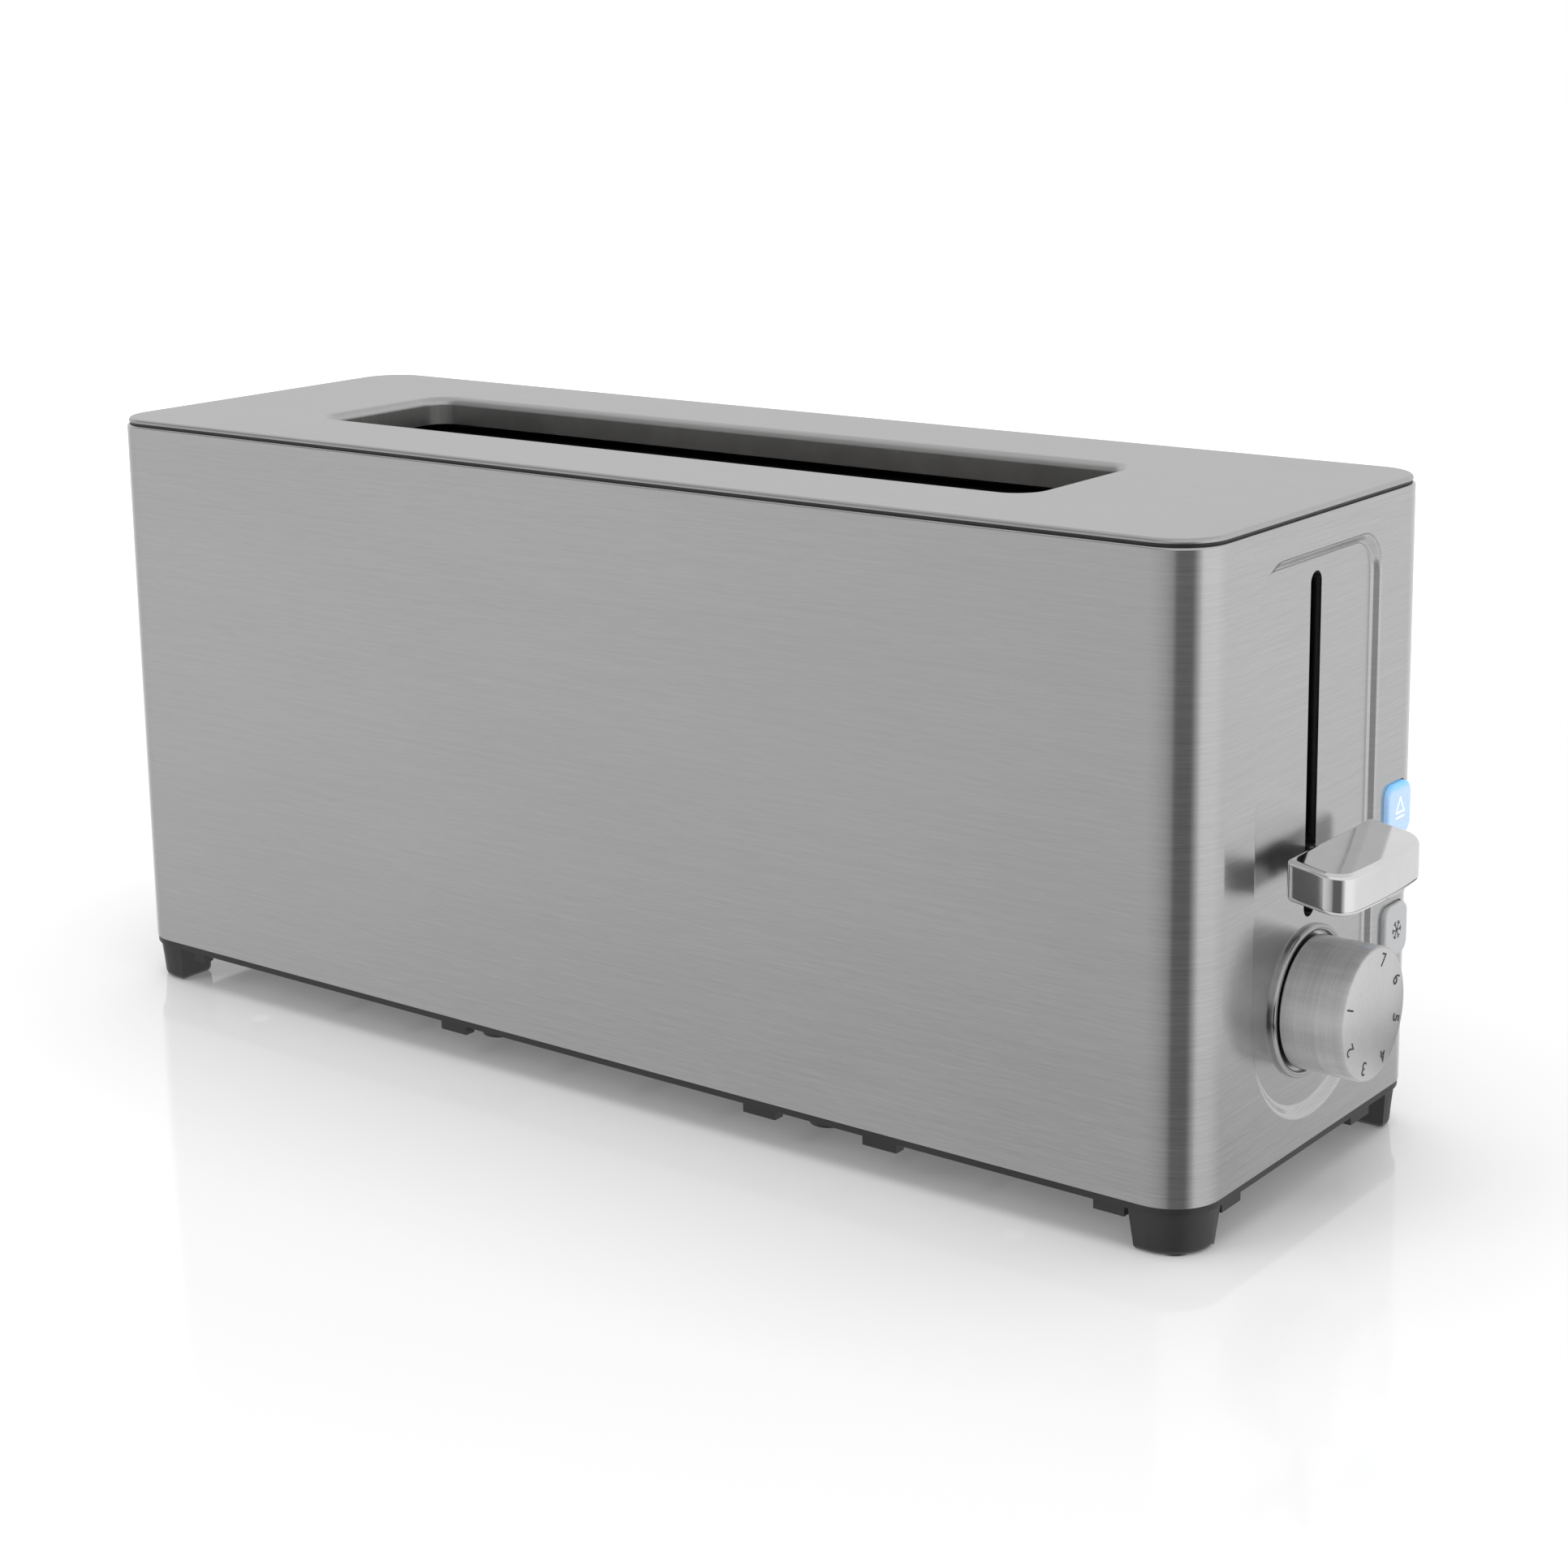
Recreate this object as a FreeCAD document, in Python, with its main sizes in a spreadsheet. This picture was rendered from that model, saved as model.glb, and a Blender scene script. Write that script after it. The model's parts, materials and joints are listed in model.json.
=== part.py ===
"""Long-slot pop-up toaster in brushed steel: one named solid for each piece.

Frame: +X points out of the end with the lever and the dial, +Z up, Y across.
The origin lies on the worktop, under the middle of the whole toaster.
Lengths are in millimetres. The lever is modelled down, where the latch holds it.
A space that is cut out starts 1 mm before the face it goes through, and ends 1 mm past it.
"""
import FreeCAD, Part
import math
import os
import re

import Sketcher

Vector = FreeCAD.Vector
Placement = FreeCAD.Placement
Rotation = FreeCAD.Rotation

SIZES = {
    # Whole body
    "body_length": 385.0, "body_width": 124.0, "sleeve_height": 165.0, "corner_radius": 14.0,
    "steel": 0.8, "foot_height": 11.5, "band_height": 2.0, "gap": 0.3, "running_fit": 0.05,
    # Lid and its rolled bread opening
    "lid_steel": 1.2, "lid_rise": 2.1, "lid_inset": 0.6, "lid_edge_radius": 0.9,
    "slot_width": 53.0, "slot_from_lever_plate": 6.5, "slot_from_rear_plate": 8.5,
    "slot_corner": 7.5, "slot_ledge": 4.5,
    "roll_radius": 2.4, "flange_depth": 8.5,
    "seal_inset": 1.0, "seal_width": 9.0, "seal_depth": 4.0,
    "slot_frame_drop": 2.4, "slot_frame_steel": 1.0, "slot_frame_border": 9.0,
    # Pressed panel, slot and openings in the end face
    "panel_width": 65.2, "panel_depth": 2.0, "panel_bottom": 7.6, "panel_from_top": 9.0,
    "panel_corner": 11.0, "panel_slope": 45.0,
    "lever_slot_width": 5.8, "lever_slot_below": 15.2, "lever_slot_from_top": 14.8, "lip_depth": 2.4,
    "shield_thick": 1.3, "shield_width": 28.0, "shield_margin": 7.0, "slit_play": 0.4,
    # Lever and carriage
    "lever_play": 1.0, "lever_z": 75.2, "lever_gap": 3.0, "lever_reach": 20.5, "lever_width": 46.0,
    "lever_thick": 11.3, "lever_droop": 2.6, "lever_corner": 6.0, "lever_bow": 1.6,
    "lever_edge": 1.4, "stem_thick": 3.0, "stem_height": 8.0, "stem_grip": 10.0,
    "rod_radius": 3.0, "rod_from_end": 42.5, "bush_wall": 1.5, "bush_height": 6.0,
    "slider_length": 16.0, "slider_width": 20.0, "slider_height": 16.0,
    "arm_length": 17.0, "arm_height": 5.0, "arm_width": 18.0, "arm_root": 2.0,
    "hook_arm": 12.0, "hook_width": 8.0, "rod_past": 1.0,
    # Dial
    "dial_z": 37.5, "dial_radius": 17.5, "dial_reach": 16.8, "dial_wall": 2.5,
    "dial_chamfer": 0.6, "dial_lift": 1.2, "hub_wall": 3.0, "shaft_radius": 3.0,
    "collar_gap": 0.7, "collar_width": 2.0, "collar_height": 1.5, "pot_size": 18.0,
    "pot_depth": 9.0, "pot_wall": 1.5, "pot_floor": 1.5, "shaft_end_gap": 0.2, "hole_margin": 1.0,
    # Buttons
    "button_from_side": 17.6, "button_low_z": 45.0, "button_space": 2.25, "button_width": 13.0,
    "button_height": 14.5, "button_corner": 3.6, "button_proud": 1.4, "button_edge": 0.7,
    "button_travel": 1.6, "button_cap": 9.0, "button_stem": 2.5, "button_flange": 1.2,
    "button_seat": 0.5, "guide_margin": 2.5, "plunger_radius": 1.7, "plunger_proud": 0.7,
    "lamp_radius": 1.5, "lamp_length": 4.0, "lamp_aside": 5.2, "lamp_above": 4.5,
    # Base, feet and crumb tray
    "base_wall": 2.0, "base_upstand": 12.0, "tab_drop": 2.8, "tab_depth": 3.5, "pad_radius": 5.5,
    "foot_length": 17.5, "foot_width": 15.5, "foot_inset": 1.0, "foot_taper": 6.0,
    "foot_corner": 4.0, "foot_edge": 1.8, "rubber_radius": 4.5, "rubber_depth": 1.5,
    "tray_from_leg": 3.0, "tray_from_plate": 8.0, "tray_height": 6.0, "tray_steel": 0.8,
    "tray_lift": 0.6, "tray_corner": 3.0, "handle_height": 9.5, "handle_depth": 5.5,
    "handle_proud": 2.5, "handle_corner": 1.5, "scoop_radius": 2.6, "scoop_width": 50.0,
    "scoop_rise": 1.2, "tab_inset": 1.0, "pad_inset": 4.0, "mouth_depth": 2.0,
    "vent_count": 9, "vent_start": -140.0, "vent_pitch": 31.0, "vent_width": 6.0, "vent_length": 60.0,
    # Toasting chamber
    "plate_steel": 1.2, "plate_from_rod": 22.0, "rear_space": 48.5, "plate_inset": 6.0,
    "plate_bottom": 25.0, "leg_width": 9.0, "foot_flange": 10.0, "top_flange": 32.0,
    "shelf_aside": 4.0, "shelf_past_spring": 12.0, "anchor_aside": 1.5, "anchor_width": 1.5,
    "slot_play": 2.0, "shield_inset": 1.0, "board_margin": 2.0, "ribbon_past": 3.0,
    "shield_from_side": 16.0, "shield_steel": 0.6, "board_y": 34.0, "mica": 0.8, "heater_low": 40.0,
    "heater_from_top": 8.4, "ribbon_width": 1.4, "ribbon_thick": 0.3, "ribbon_rows": 14,
    "guide_y": 14.0, "guide_open": 6.0, "rail_radius": 1.2, "wire_radius": 0.9,
    "guide_low": 36.0, "guide_from_top": 4.4, "guide_wires": 13, "wire_fit": 0.4,
    "rail_past_plate": 3.0, "wire_inset": 4.0,
    "rack_z": 40.0, "rack_height": 6.0, "rack_thick": 1.5, "wing_reach": 10.0,
    "wing_width": 4.0, "wing_thick": 1.5, "wing_inset": 10.0, "wings": 11, "rack_past_plate": 5.0,
    "riser_gap": 2.0,
    # Control board and electrical parts
    "pcb_from_end": 22.5, "pcb_thick": 1.6, "pcb_left": -32.0, "pcb_from_side": 4.0, "pcb_low": 28.0,
    "pcb_step": 68.0, "pcb_high": 106.0, "pcb_column": 20.0, "spacer_wall": 1.4,
    "magnet_y": -20.0, "magnet_from_rod": 6.0, "core_radius": 4.0, "winding": 4.0,
    "coil_low": 44.0, "coil_high": 70.0, "spool_flange": 1.5, "armature_size": 14.0,
    "armature_thick": 3.0, "bracket_thick": 2.5, "bracket_drop": 2.0, "spool_rim": 1.0,
    "switch_size": 6.0, "switch_depth": 4.0,
    "screw_radius": 1.6, "head_overhang": 1.4, "screw_head": 2.0, "screw_inset": 5.0,
    "screw_aside": 8.0, "screw_grip": 6.0, "thread_depth": 8.0, "base_screw_grip": 6.0,
    "relay_from_edge": 28.0, "relay_z": 40.0, "relay_depth": 16.0, "relay_width": 20.0, "relay_height": 16.0,
    "capacitor_z": 72.0, "capacitor_depth": 12.0, "capacitor_height": 16.0,
    "contact_y": 8.0, "contact_depth": 10.0, "contact_width": 16.0, "contact_height": 10.0,
    "contact_drop": 6.0, "blade_inset": 2.0, "blade_pitch": 9.0, "blade_width": 4.0,
    "blade_root": 2.0, "blade_reach": 12.0, "blade_length": 14.0, "blade_steel": 0.6,
    "terminal_depth": 16.0, "terminal_from_side": 10.0, "terminal_z": 44.0, "terminal_width": 22.0,
    "terminal_height": 12.0,
    "spring_radius": 3.2, "spring_wire": 0.45, "spring_turns": 18,
    # Mains inlet
    "gland_from_side": 22.0, "gland_z": 34.0, "cord_bore": 3.6, "gland_wall": 2.3,
    "gland_overhang": 2.1, "gland_length": 11.0, "gland_nut": 4.5,
}

doc = FreeCAD.newDocument("toaster")
sheet = doc.addObject("Spreadsheet::Sheet", "dim")
for row, (alias, value) in enumerate(SIZES.items(), start=1):
    sheet.set(f"A{row}", alias)
    sheet.set(f"B{row}", str(value))
    sheet.setAlias(f"B{row}", alias)

# Heights and places that several pieces share, each worked out from the sizes above.
PLACES = {
    "half_length": "body_length / 2",
    "half_width": "body_width / 2",
    "sleeve_bottom": "foot_height + band_height",
    "sleeve_top": "sleeve_bottom + sleeve_height",
    "lid_top": "sleeve_top + lid_rise",
    "lid_under": "lid_top - lid_steel",
    "flange_end": "lid_top - flange_depth",
    "frame_top": "flange_end - slot_frame_drop",
    "plate_top": "frame_top - slot_frame_steel - gap",
    "heater_high": "plate_top - heater_from_top",
    "guide_high": "plate_top - guide_from_top",
    "panel_face": "half_length - panel_depth",
    "inner_face": "half_length - steel",
    "bush_radius": "rod_radius + bush_wall",
    "hub_radius": "shaft_radius + hub_wall",
    "pot_bush_radius": "shaft_radius + pot_wall",
    "collar_radius": "dial_radius + collar_gap + collar_width",
    "button_pitch": "button_height + button_space",
    "spacer_radius": "screw_radius + spacer_wall",
    "screw_head_radius": "screw_radius + head_overhang",
    "coil_radius": "core_radius + winding",
    "gland_radius": "cord_bore + gland_wall",
    "gland_flange": "gland_radius + gland_overhang",
    "shield_slit": "stem_thick + 2 * slit_play",
    "rod_x": "half_length - rod_from_end",
    "magnet_x": "rod_x + magnet_from_rod",
    "pcb_x": "half_length - pcb_from_end",
    "lever_plate_x": "rod_x - plate_from_rod",
    "rear_plate_x": "rear_space - half_length",
    "plate_width": "body_width - 2 * plate_inset",
    "shield_y": "half_width - shield_from_side",
    "tray_width": "plate_width - 2 * leg_width - 2 * tray_from_leg",
    "button_y": "half_width - button_from_side",
    "pcb_right": "half_width - pcb_from_side",
    "relay_y": "pcb_right - relay_from_edge",
    "terminal_y": "terminal_from_side - half_width",
    "gland_y": "gland_from_side - half_width",
    "slot_low_x": "rear_plate_x + slot_from_rear_plate",
    "slot_high_x": "lever_plate_x - slot_from_lever_plate",
    "slot_length": "slot_high_x - slot_low_x",
    "tray_end": "lever_plate_x - tray_from_plate",
    "lever_mid": "sleeve_bottom + lever_z",
    "lever_slot_low": "lever_mid - lever_slot_below",
    "lever_slot_high": "sleeve_top - lever_slot_from_top",
    "travel": "lever_slot_high - lever_play - stem_height / 2 - lever_mid",
    "knob_start": "half_length + lever_gap",
    "knob_end": "half_length + lever_reach",
    "dial_mid": "sleeve_bottom + dial_z",
    "dial_back": "panel_face + dial_lift",
    "dial_face": "half_length + dial_reach",
    "pcb_face": "pcb_x + pcb_thick",
    "plate_face": "lever_plate_x + plate_steel",
    "slider_low": "lever_mid - slider_height / 2",
    "slider_high": "lever_mid + slider_height / 2",
    "tray_bottom": "sleeve_bottom + tray_lift",
    "spring_y": "slider_width / 2 + hook_arm / 2",
    "core_low": "coil_low - bracket_drop",
    "core_top": "slider_low - armature_thick - gap",
    "blade_top": "slider_low - 2 * gap",
    "frame_shift": "(handle_proud - lever_reach) / 2",
}
WORD = re.compile(r"[a-z][a-z_0-9]*")
start_row = len(SIZES) + 2


def linked(formula):
    """A formula on sheet names, written as an expression for an object's property."""
    return WORD.sub(lambda found: found.group(0) if found.group(0) in ("cos", "sin", "tan", "deg")
                    else "dim." + found.group(0), formula)


for row, (alias, formula) in enumerate(PLACES.items(), start=start_row):
    sheet.set(f"A{row}", alias)
    sheet.set(f"B{row}", "=" + formula)
    sheet.setAlias(f"B{row}", alias)
doc.recompute()


def size(alias):
    """The value of one named size, for shapes that are worked out in this script."""
    return float(sheet.get(alias))


PARTS = []
PLACED = {}
TURNS = {"X": Rotation(Vector(0, 1, 0), 90), "Y": Rotation(Vector(1, 0, 0), -90), "Z": Rotation()}


def part(name, shape):
    """Name a finished piece and set it at its place in the toaster's frame."""
    shape.Label = name
    own_x = PLACED.get(shape.Name)
    shift = "frame_shift" if own_x is None else f"({own_x}) + frame_shift"
    shape.setExpression("Placement.Base.x", linked(shift))
    PARTS.append(shape)
    return shape


def block(name, x_span, y_span, z_span):
    """A rectangular block between two formulas on each axis."""
    box = doc.addObject("Part::Box", name)
    for side, axis, (low, high) in (("Length", "x", x_span), ("Width", "y", y_span),
                                    ("Height", "z", z_span)):
        box.setExpression(side, linked(f"({high}) - ({low})"))
        box.setExpression(f"Placement.Base.{axis}", linked(low))
    PLACED[box.Name] = x_span[0]
    return box


def bar(name, axis, radius, start, length):
    """A round bar along one axis, from a start point given as three formulas."""
    cylinder = doc.addObject("Part::Cylinder", name)
    cylinder.Placement = Placement(Vector(), TURNS[axis])
    cylinder.setExpression("Radius", linked(radius))
    cylinder.setExpression("Height", linked(length))
    for letter, formula in zip("xyz", start):
        cylinder.setExpression(f"Placement.Base.{letter}", linked(formula))
    PLACED[cylinder.Name] = start[0]
    return cylinder


def join(name, pieces):
    """Pieces of one material that make one solid."""
    fusion = doc.addObject("Part::MultiFuse", name)
    fusion.Shapes = pieces
    fusion.Refine = True
    return fusion


def group(name, pieces):
    """Separate equal solids that share one node."""
    compound = doc.addObject("Part::Compound", name)
    compound.Links = pieces
    return compound


def carve(name, base, tools):
    """The base with every tool's space taken out of it."""
    cut = doc.addObject("Part::Cut", name)
    cut.Base = base
    cut.Tool = tools[0] if len(tools) == 1 else group(name + "_tools", tools)
    cut.Refine = True
    return cut


def overlap(name, first, second):
    """The space that two shapes share."""
    common = doc.addObject("Part::Common", name)
    common.Base = first
    common.Tool = second
    return common


PLANES = {"Z": ("XY_Plane", "z"), "X": ("YZ_Plane", "x"), "Y": ("XZ_Plane", "y")}


def body(name):
    """An empty body, which sketched features build up."""
    return doc.addObject("PartDesign::Body", name)


def sketch(owner, name, axis, level):
    """A sketch on the body's own plane across an axis, lifted to a level along it."""
    role = PLANES[axis][0]
    plane = [feature for feature in owner.Origin.OriginFeatures if feature.Role == role][0]
    drawing = owner.newObject("Sketcher::SketchObject", name)
    drawing.AttachmentSupport = [(plane, "")]
    drawing.MapMode = "FlatFace"
    sign = "-" if axis == "Y" else ""
    drawing.setExpression("AttachmentOffset.Base.z", linked(f"{sign}({level})"))
    return drawing


def bind(drawing, kind, args, formula, start_value):
    """Add one dimension to a sketch and tie it to a formula."""
    index = drawing.addConstraint(Sketcher.Constraint(kind, *args, start_value))
    drawing.setExpression(f"Constraints[{index}]", linked(formula))


def value_of(formula):
    """A formula's present value."""
    names = {word: size(word) for word in set(WORD.findall(formula))}
    result = formula
    for word in sorted(names, key=len, reverse=True):
        result = re.sub(rf"\b{word}\b", repr(names[word]), result)
    return float(FreeCAD.Units.Quantity(result).Value)


def rounded_rectangle(drawing, across, up, radius):
    """A rectangle with round corners, between two formulas each way."""
    x0, x1 = (value_of(formula) for formula in across)
    y0, y1 = (value_of(formula) for formula in up)
    r = value_of(radius)
    corners = [(x1 - r, y0 + r, -90, 0), (x1 - r, y1 - r, 0, 90), (x0 + r, y1 - r, 90, 180),
               (x0 + r, y0 + r, 180, 270)]
    sides = [((x0 + r, y0), (x1 - r, y0)), ((x1, y0 + r), (x1, y1 - r)),
             ((x1 - r, y1), (x0 + r, y1)), ((x0, y1 - r), (x0, y0 + r))]
    lines = [drawing.addGeometry(Part.LineSegment(Vector(*a, 0), Vector(*b, 0))) for a, b in sides]
    arcs = []
    for cx, cy, begin, end in corners:
        circle = Part.Circle(Vector(cx, cy, 0), Vector(0, 0, 1), r)
        arcs.append(drawing.addGeometry(Part.ArcOfCircle(circle, math.radians(begin),
                                                         math.radians(end))))
    for index, arc in enumerate(arcs):
        drawing.addConstraint(Sketcher.Constraint("Tangent", lines[index], 2, arc, 1))
        drawing.addConstraint(Sketcher.Constraint("Tangent", arc, 2, lines[(index + 1) % 4], 1))
    drawing.addConstraint([Sketcher.Constraint("Horizontal", lines[0]),
                           Sketcher.Constraint("Vertical", lines[1]),
                           Sketcher.Constraint("Horizontal", lines[2]),
                           Sketcher.Constraint("Vertical", lines[3])])
    drawing.addConstraint([Sketcher.Constraint("Equal", arcs[0], arc) for arc in arcs[1:]])
    bind(drawing, "Radius", (arcs[0],), radius, r)
    bind(drawing, "DistanceX", (-1, 1, lines[3], 1), across[0], x0)
    bind(drawing, "DistanceX", (-1, 1, lines[1], 1), across[1], x1)
    bind(drawing, "DistanceY", (-1, 1, lines[0], 1), up[0], y0)
    bind(drawing, "DistanceY", (-1, 1, lines[2], 1), up[1], y1)


def polygon(drawing, corners):
    """A closed outline whose corners are pairs of formulas."""
    points = [Vector(value_of(a), value_of(b), 0) for a, b in corners]
    count = len(points)
    lines = [drawing.addGeometry(Part.LineSegment(points[i], points[(i + 1) % count]))
             for i in range(count)]
    for i, line in enumerate(lines):
        drawing.addConstraint(Sketcher.Constraint("Coincident", line, 2, lines[(i + 1) % count], 1))
    for (across, up), line, point in zip(corners, lines, points):
        bind(drawing, "DistanceX", (-1, 1, line, 1), across, point.x)
        bind(drawing, "DistanceY", (-1, 1, line, 1), up, point.y)


def feature(owner, kind, name, profile, length, upwards=True, slope=None):
    """A pad or pocket of a sketch, along the sketch's normal or against it."""
    made = owner.newObject("PartDesign::" + kind, name)
    made.Profile = profile
    made.setExpression("Length", linked(length))
    made.Reversed = upwards if kind == "Pocket" else not upwards
    if slope is not None:
        made.setExpression("TaperAngle", linked(slope))
    profile.Visibility = False
    return made


def slab(name, axis, across, up, radius, level, length, slope=None):
    """A block with round corners: one rounded rectangle, raised along an axis."""
    owner = body(name)
    drawing = sketch(owner, name + "_outline", axis, level)
    rounded_rectangle(drawing, across, up, radius)
    feature(owner, "Pad", name + "_pad", drawing, length, axis != "Y", slope)
    return owner


def around(inset, radius="corner_radius"):
    """The body's outline, a given inset inside its faces, as spans and a corner radius."""
    return ((f"{inset} - half_length", f"half_length - ({inset})"),
            (f"{inset} - half_width", f"half_width - ({inset})"), f"{radius} - ({inset})")


def soften(owner, name, radius, wanted):
    """Fillet the edges of a body's last feature that a test picks."""
    doc.recompute()
    tip = owner.Tip
    edges = [f"Edge{i}" for i, edge in enumerate(tip.Shape.Edges, start=1) if wanted(edge)]
    fillet = owner.newObject("PartDesign::Fillet", name)
    fillet.Base = (tip, edges)
    fillet.setExpression("Radius", linked(radius))
    return fillet


def at_level(axis, level, tolerance=1e-4):
    """A test for edges that lie wholly at one level of an axis."""
    low, high = axis + "Min", axis + "Max"
    return lambda edge: (abs(getattr(edge.BoundBox, low) - level) < tolerance
                         and abs(getattr(edge.BoundBox, high) - level) < tolerance)


# --- Outer casing -----------------------------------------------------------------------------

def panel_outline(drawing, grow):
    """The pressed panel's outline: round bottom, straight sides, two small top corners."""
    half = f"panel_width / 2 + {grow}"
    foot = "sleeve_bottom + panel_bottom + panel_width / 2"
    crest = f"sleeve_top - panel_from_top + {grow}"
    bend = f"panel_corner + {grow}"
    w, z0, z1, r = value_of(half), value_of(foot), value_of(crest), value_of(bend)
    bottom = drawing.addGeometry(Part.ArcOfCircle(
        Part.Circle(Vector(0, z0, 0), Vector(0, 0, 1), w), math.pi, 2 * math.pi))
    right = drawing.addGeometry(Part.LineSegment(Vector(w, z0, 0), Vector(w, z1 - r, 0)))
    high_right = drawing.addGeometry(Part.ArcOfCircle(
        Part.Circle(Vector(w - r, z1 - r, 0), Vector(0, 0, 1), r), 0, math.pi / 2))
    top = drawing.addGeometry(Part.LineSegment(Vector(w - r, z1, 0), Vector(r - w, z1, 0)))
    high_left = drawing.addGeometry(Part.ArcOfCircle(
        Part.Circle(Vector(r - w, z1 - r, 0), Vector(0, 0, 1), r), math.pi / 2, math.pi))
    left = drawing.addGeometry(Part.LineSegment(Vector(-w, z1 - r, 0), Vector(-w, z0, 0)))
    chain = [bottom, right, high_right, top, high_left, left]
    for this, following in zip(chain, chain[1:] + chain[:1]):
        drawing.addConstraint(Sketcher.Constraint("Tangent", this, 2, following, 1))
    drawing.addConstraint([Sketcher.Constraint("Vertical", right),
                           Sketcher.Constraint("Horizontal", top),
                           Sketcher.Constraint("Equal", high_right, high_left),
                           Sketcher.Constraint("PointOnObject", bottom, 3, -2)])
    bind(drawing, "Radius", (bottom,), half, w)
    bind(drawing, "Radius", (high_right,), bend, r)
    bind(drawing, "DistanceY", (-1, 1, bottom, 3), foot, z0)
    bind(drawing, "DistanceY", (-1, 1, top, 1), crest, z1)


def button_spans(grow, low="sleeve_bottom + button_low_z"):
    """The Y and Z spans of the lowest button, grown on every side."""
    return ((f"button_y - button_width / 2 - {grow}", f"button_y + button_width / 2 + {grow}"),
            (f"{low} - button_height / 2 - {grow}", f"{low} + button_height / 2 + {grow}"))


BUTTONS = ("defrost", "reheat", "cancel")


def button_level(index):
    """The height of a button's middle."""
    return f"sleeve_bottom + button_low_z + {index} * button_pitch"


def make_sleeve():
    """The wrapped steel sleeve with its pressed panel, lever slot and openings."""
    sleeve = body("sleeve_body")
    outside = sketch(sleeve, "sleeve_outside", "Z", "sleeve_bottom")
    rounded_rectangle(outside, *around("0"))
    feature(sleeve, "Pad", "sleeve_block", outside, "sleeve_height")
    soften(sleeve, "sleeve_top_edge", "steel * 3 / 4", at_level("Z", size("sleeve_top")))
    hollow = sketch(sleeve, "sleeve_inside", "Z", "sleeve_bottom - 1")
    rounded_rectangle(hollow, *around("steel"))
    feature(sleeve, "Pocket", "sleeve_hollow", hollow, "sleeve_height + 2")
    backing = sketch(sleeve, "panel_backing", "X", "panel_face - steel")
    panel_outline(backing, "steel")
    feature(sleeve, "Pad", "panel_back", backing, "panel_depth + steel / 2")
    pressing = sketch(sleeve, "panel_pressing", "X", "panel_face")
    panel_outline(pressing, "0 - panel_depth")
    feature(sleeve, "Pocket", "panel_press", pressing, "panel_depth + 0.001", True, "panel_slope")
    lip = sketch(sleeve, "slot_lip_outline", "X", "panel_face - steel - lip_depth")
    rounded_rectangle(lip, ("0 - lever_slot_width / 2 - steel", "lever_slot_width / 2 + steel"),
                      ("lever_slot_low - steel", "lever_slot_high + steel"),
                      "(lever_slot_width / 2 + steel) * 99 / 100")
    feature(sleeve, "Pad", "slot_lip", lip, "lip_depth + steel / 2")
    slot = sketch(sleeve, "lever_slot_outline", "X", "panel_face - steel - lip_depth - 1")
    rounded_rectangle(slot, ("0 - lever_slot_width / 2", "lever_slot_width / 2"),
                      ("lever_slot_low", "lever_slot_high"),
                      "lever_slot_width * 99 / 200")
    feature(sleeve, "Pocket", "lever_slot", slot, "lip_depth + panel_depth + 3")
    for index, name in enumerate(BUTTONS):
        hole = sketch(sleeve, name + "_hole_outline", "X", "inner_face - 1")
        rounded_rectangle(hole, *button_spans("gap", button_level(index)), "button_corner + gap")
        feature(sleeve, "Pocket", name + "_hole", hole, "steel + 2")
    dial_hole = bar("dial_hole", "X", "pot_bush_radius + hole_margin",
                    ("panel_face - steel - 1", "0", "dial_mid"), "steel + 2")
    gland_hole = bar("gland_hole", "X", "gland_radius + running_fit",
                     ("0 - half_length - 1", "gland_y", "gland_z"), "steel + 2")
    tray_mouth = block("tray_mouth", ("0 - half_length - 1", "steel - half_length + 1"),
                       ("0 - tray_width / 2 - 2 * gap", "tray_width / 2 + 2 * gap"),
                       ("sleeve_bottom - 1", "tray_bottom + handle_height + gap"))
    part("outer_sleeve", carve("sleeve_cut", sleeve, [dial_hole, gland_hole, tray_mouth]))


def make_slot_shield():
    """The black shield behind the lever slot, with a narrow slit for the stem."""
    back = "panel_face - steel - lip_depth - gap - shield_thick"
    plate = block("shield_plate", (back, f"{back} + shield_thick"),
                  ("0 - shield_width / 2", "shield_width / 2"),
                  ("lever_slot_low - shield_margin",
                   "plate_top - shield_margin / 2"))
    slit = block("shield_slit_space", (f"{back} - 1", f"{back} + shield_thick + 1"),
                 ("0 - shield_slit / 2", "shield_slit / 2"),
                 ("lever_slot_low", "lever_slot_high"))
    part("slot_shield", carve("shield_cut", plate, [slit]))


def slot_spans(grow):
    """The bread opening's clear outline grown by an amount, as spans and a corner radius."""
    return ((f"slot_low_x - ({grow})", f"slot_high_x + {grow}"),
            (f"0 - slot_width / 2 - ({grow})", f"slot_width / 2 + {grow}"),
            f"slot_corner + {grow}")


def opening_edges(level, grow):
    """A test for the edges of the bread opening's outline, grown, at one height."""
    (x_low, x_high), (y_low, y_high), _ = slot_spans(grow)
    corner_low = Vector(value_of(x_low), value_of(y_low), 0)
    corner_high = Vector(value_of(x_high), value_of(y_high), 0)
    flat = at_level("Z", size(level))
    slack = 0.01

    def wanted(edge):
        box = edge.BoundBox
        return (flat(edge) and box.XMin > corner_low.x - slack and box.XMax < corner_high.x + slack
                and box.YMin > corner_low.y - slack and box.YMax < corner_high.y + slack)
    return wanted


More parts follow.
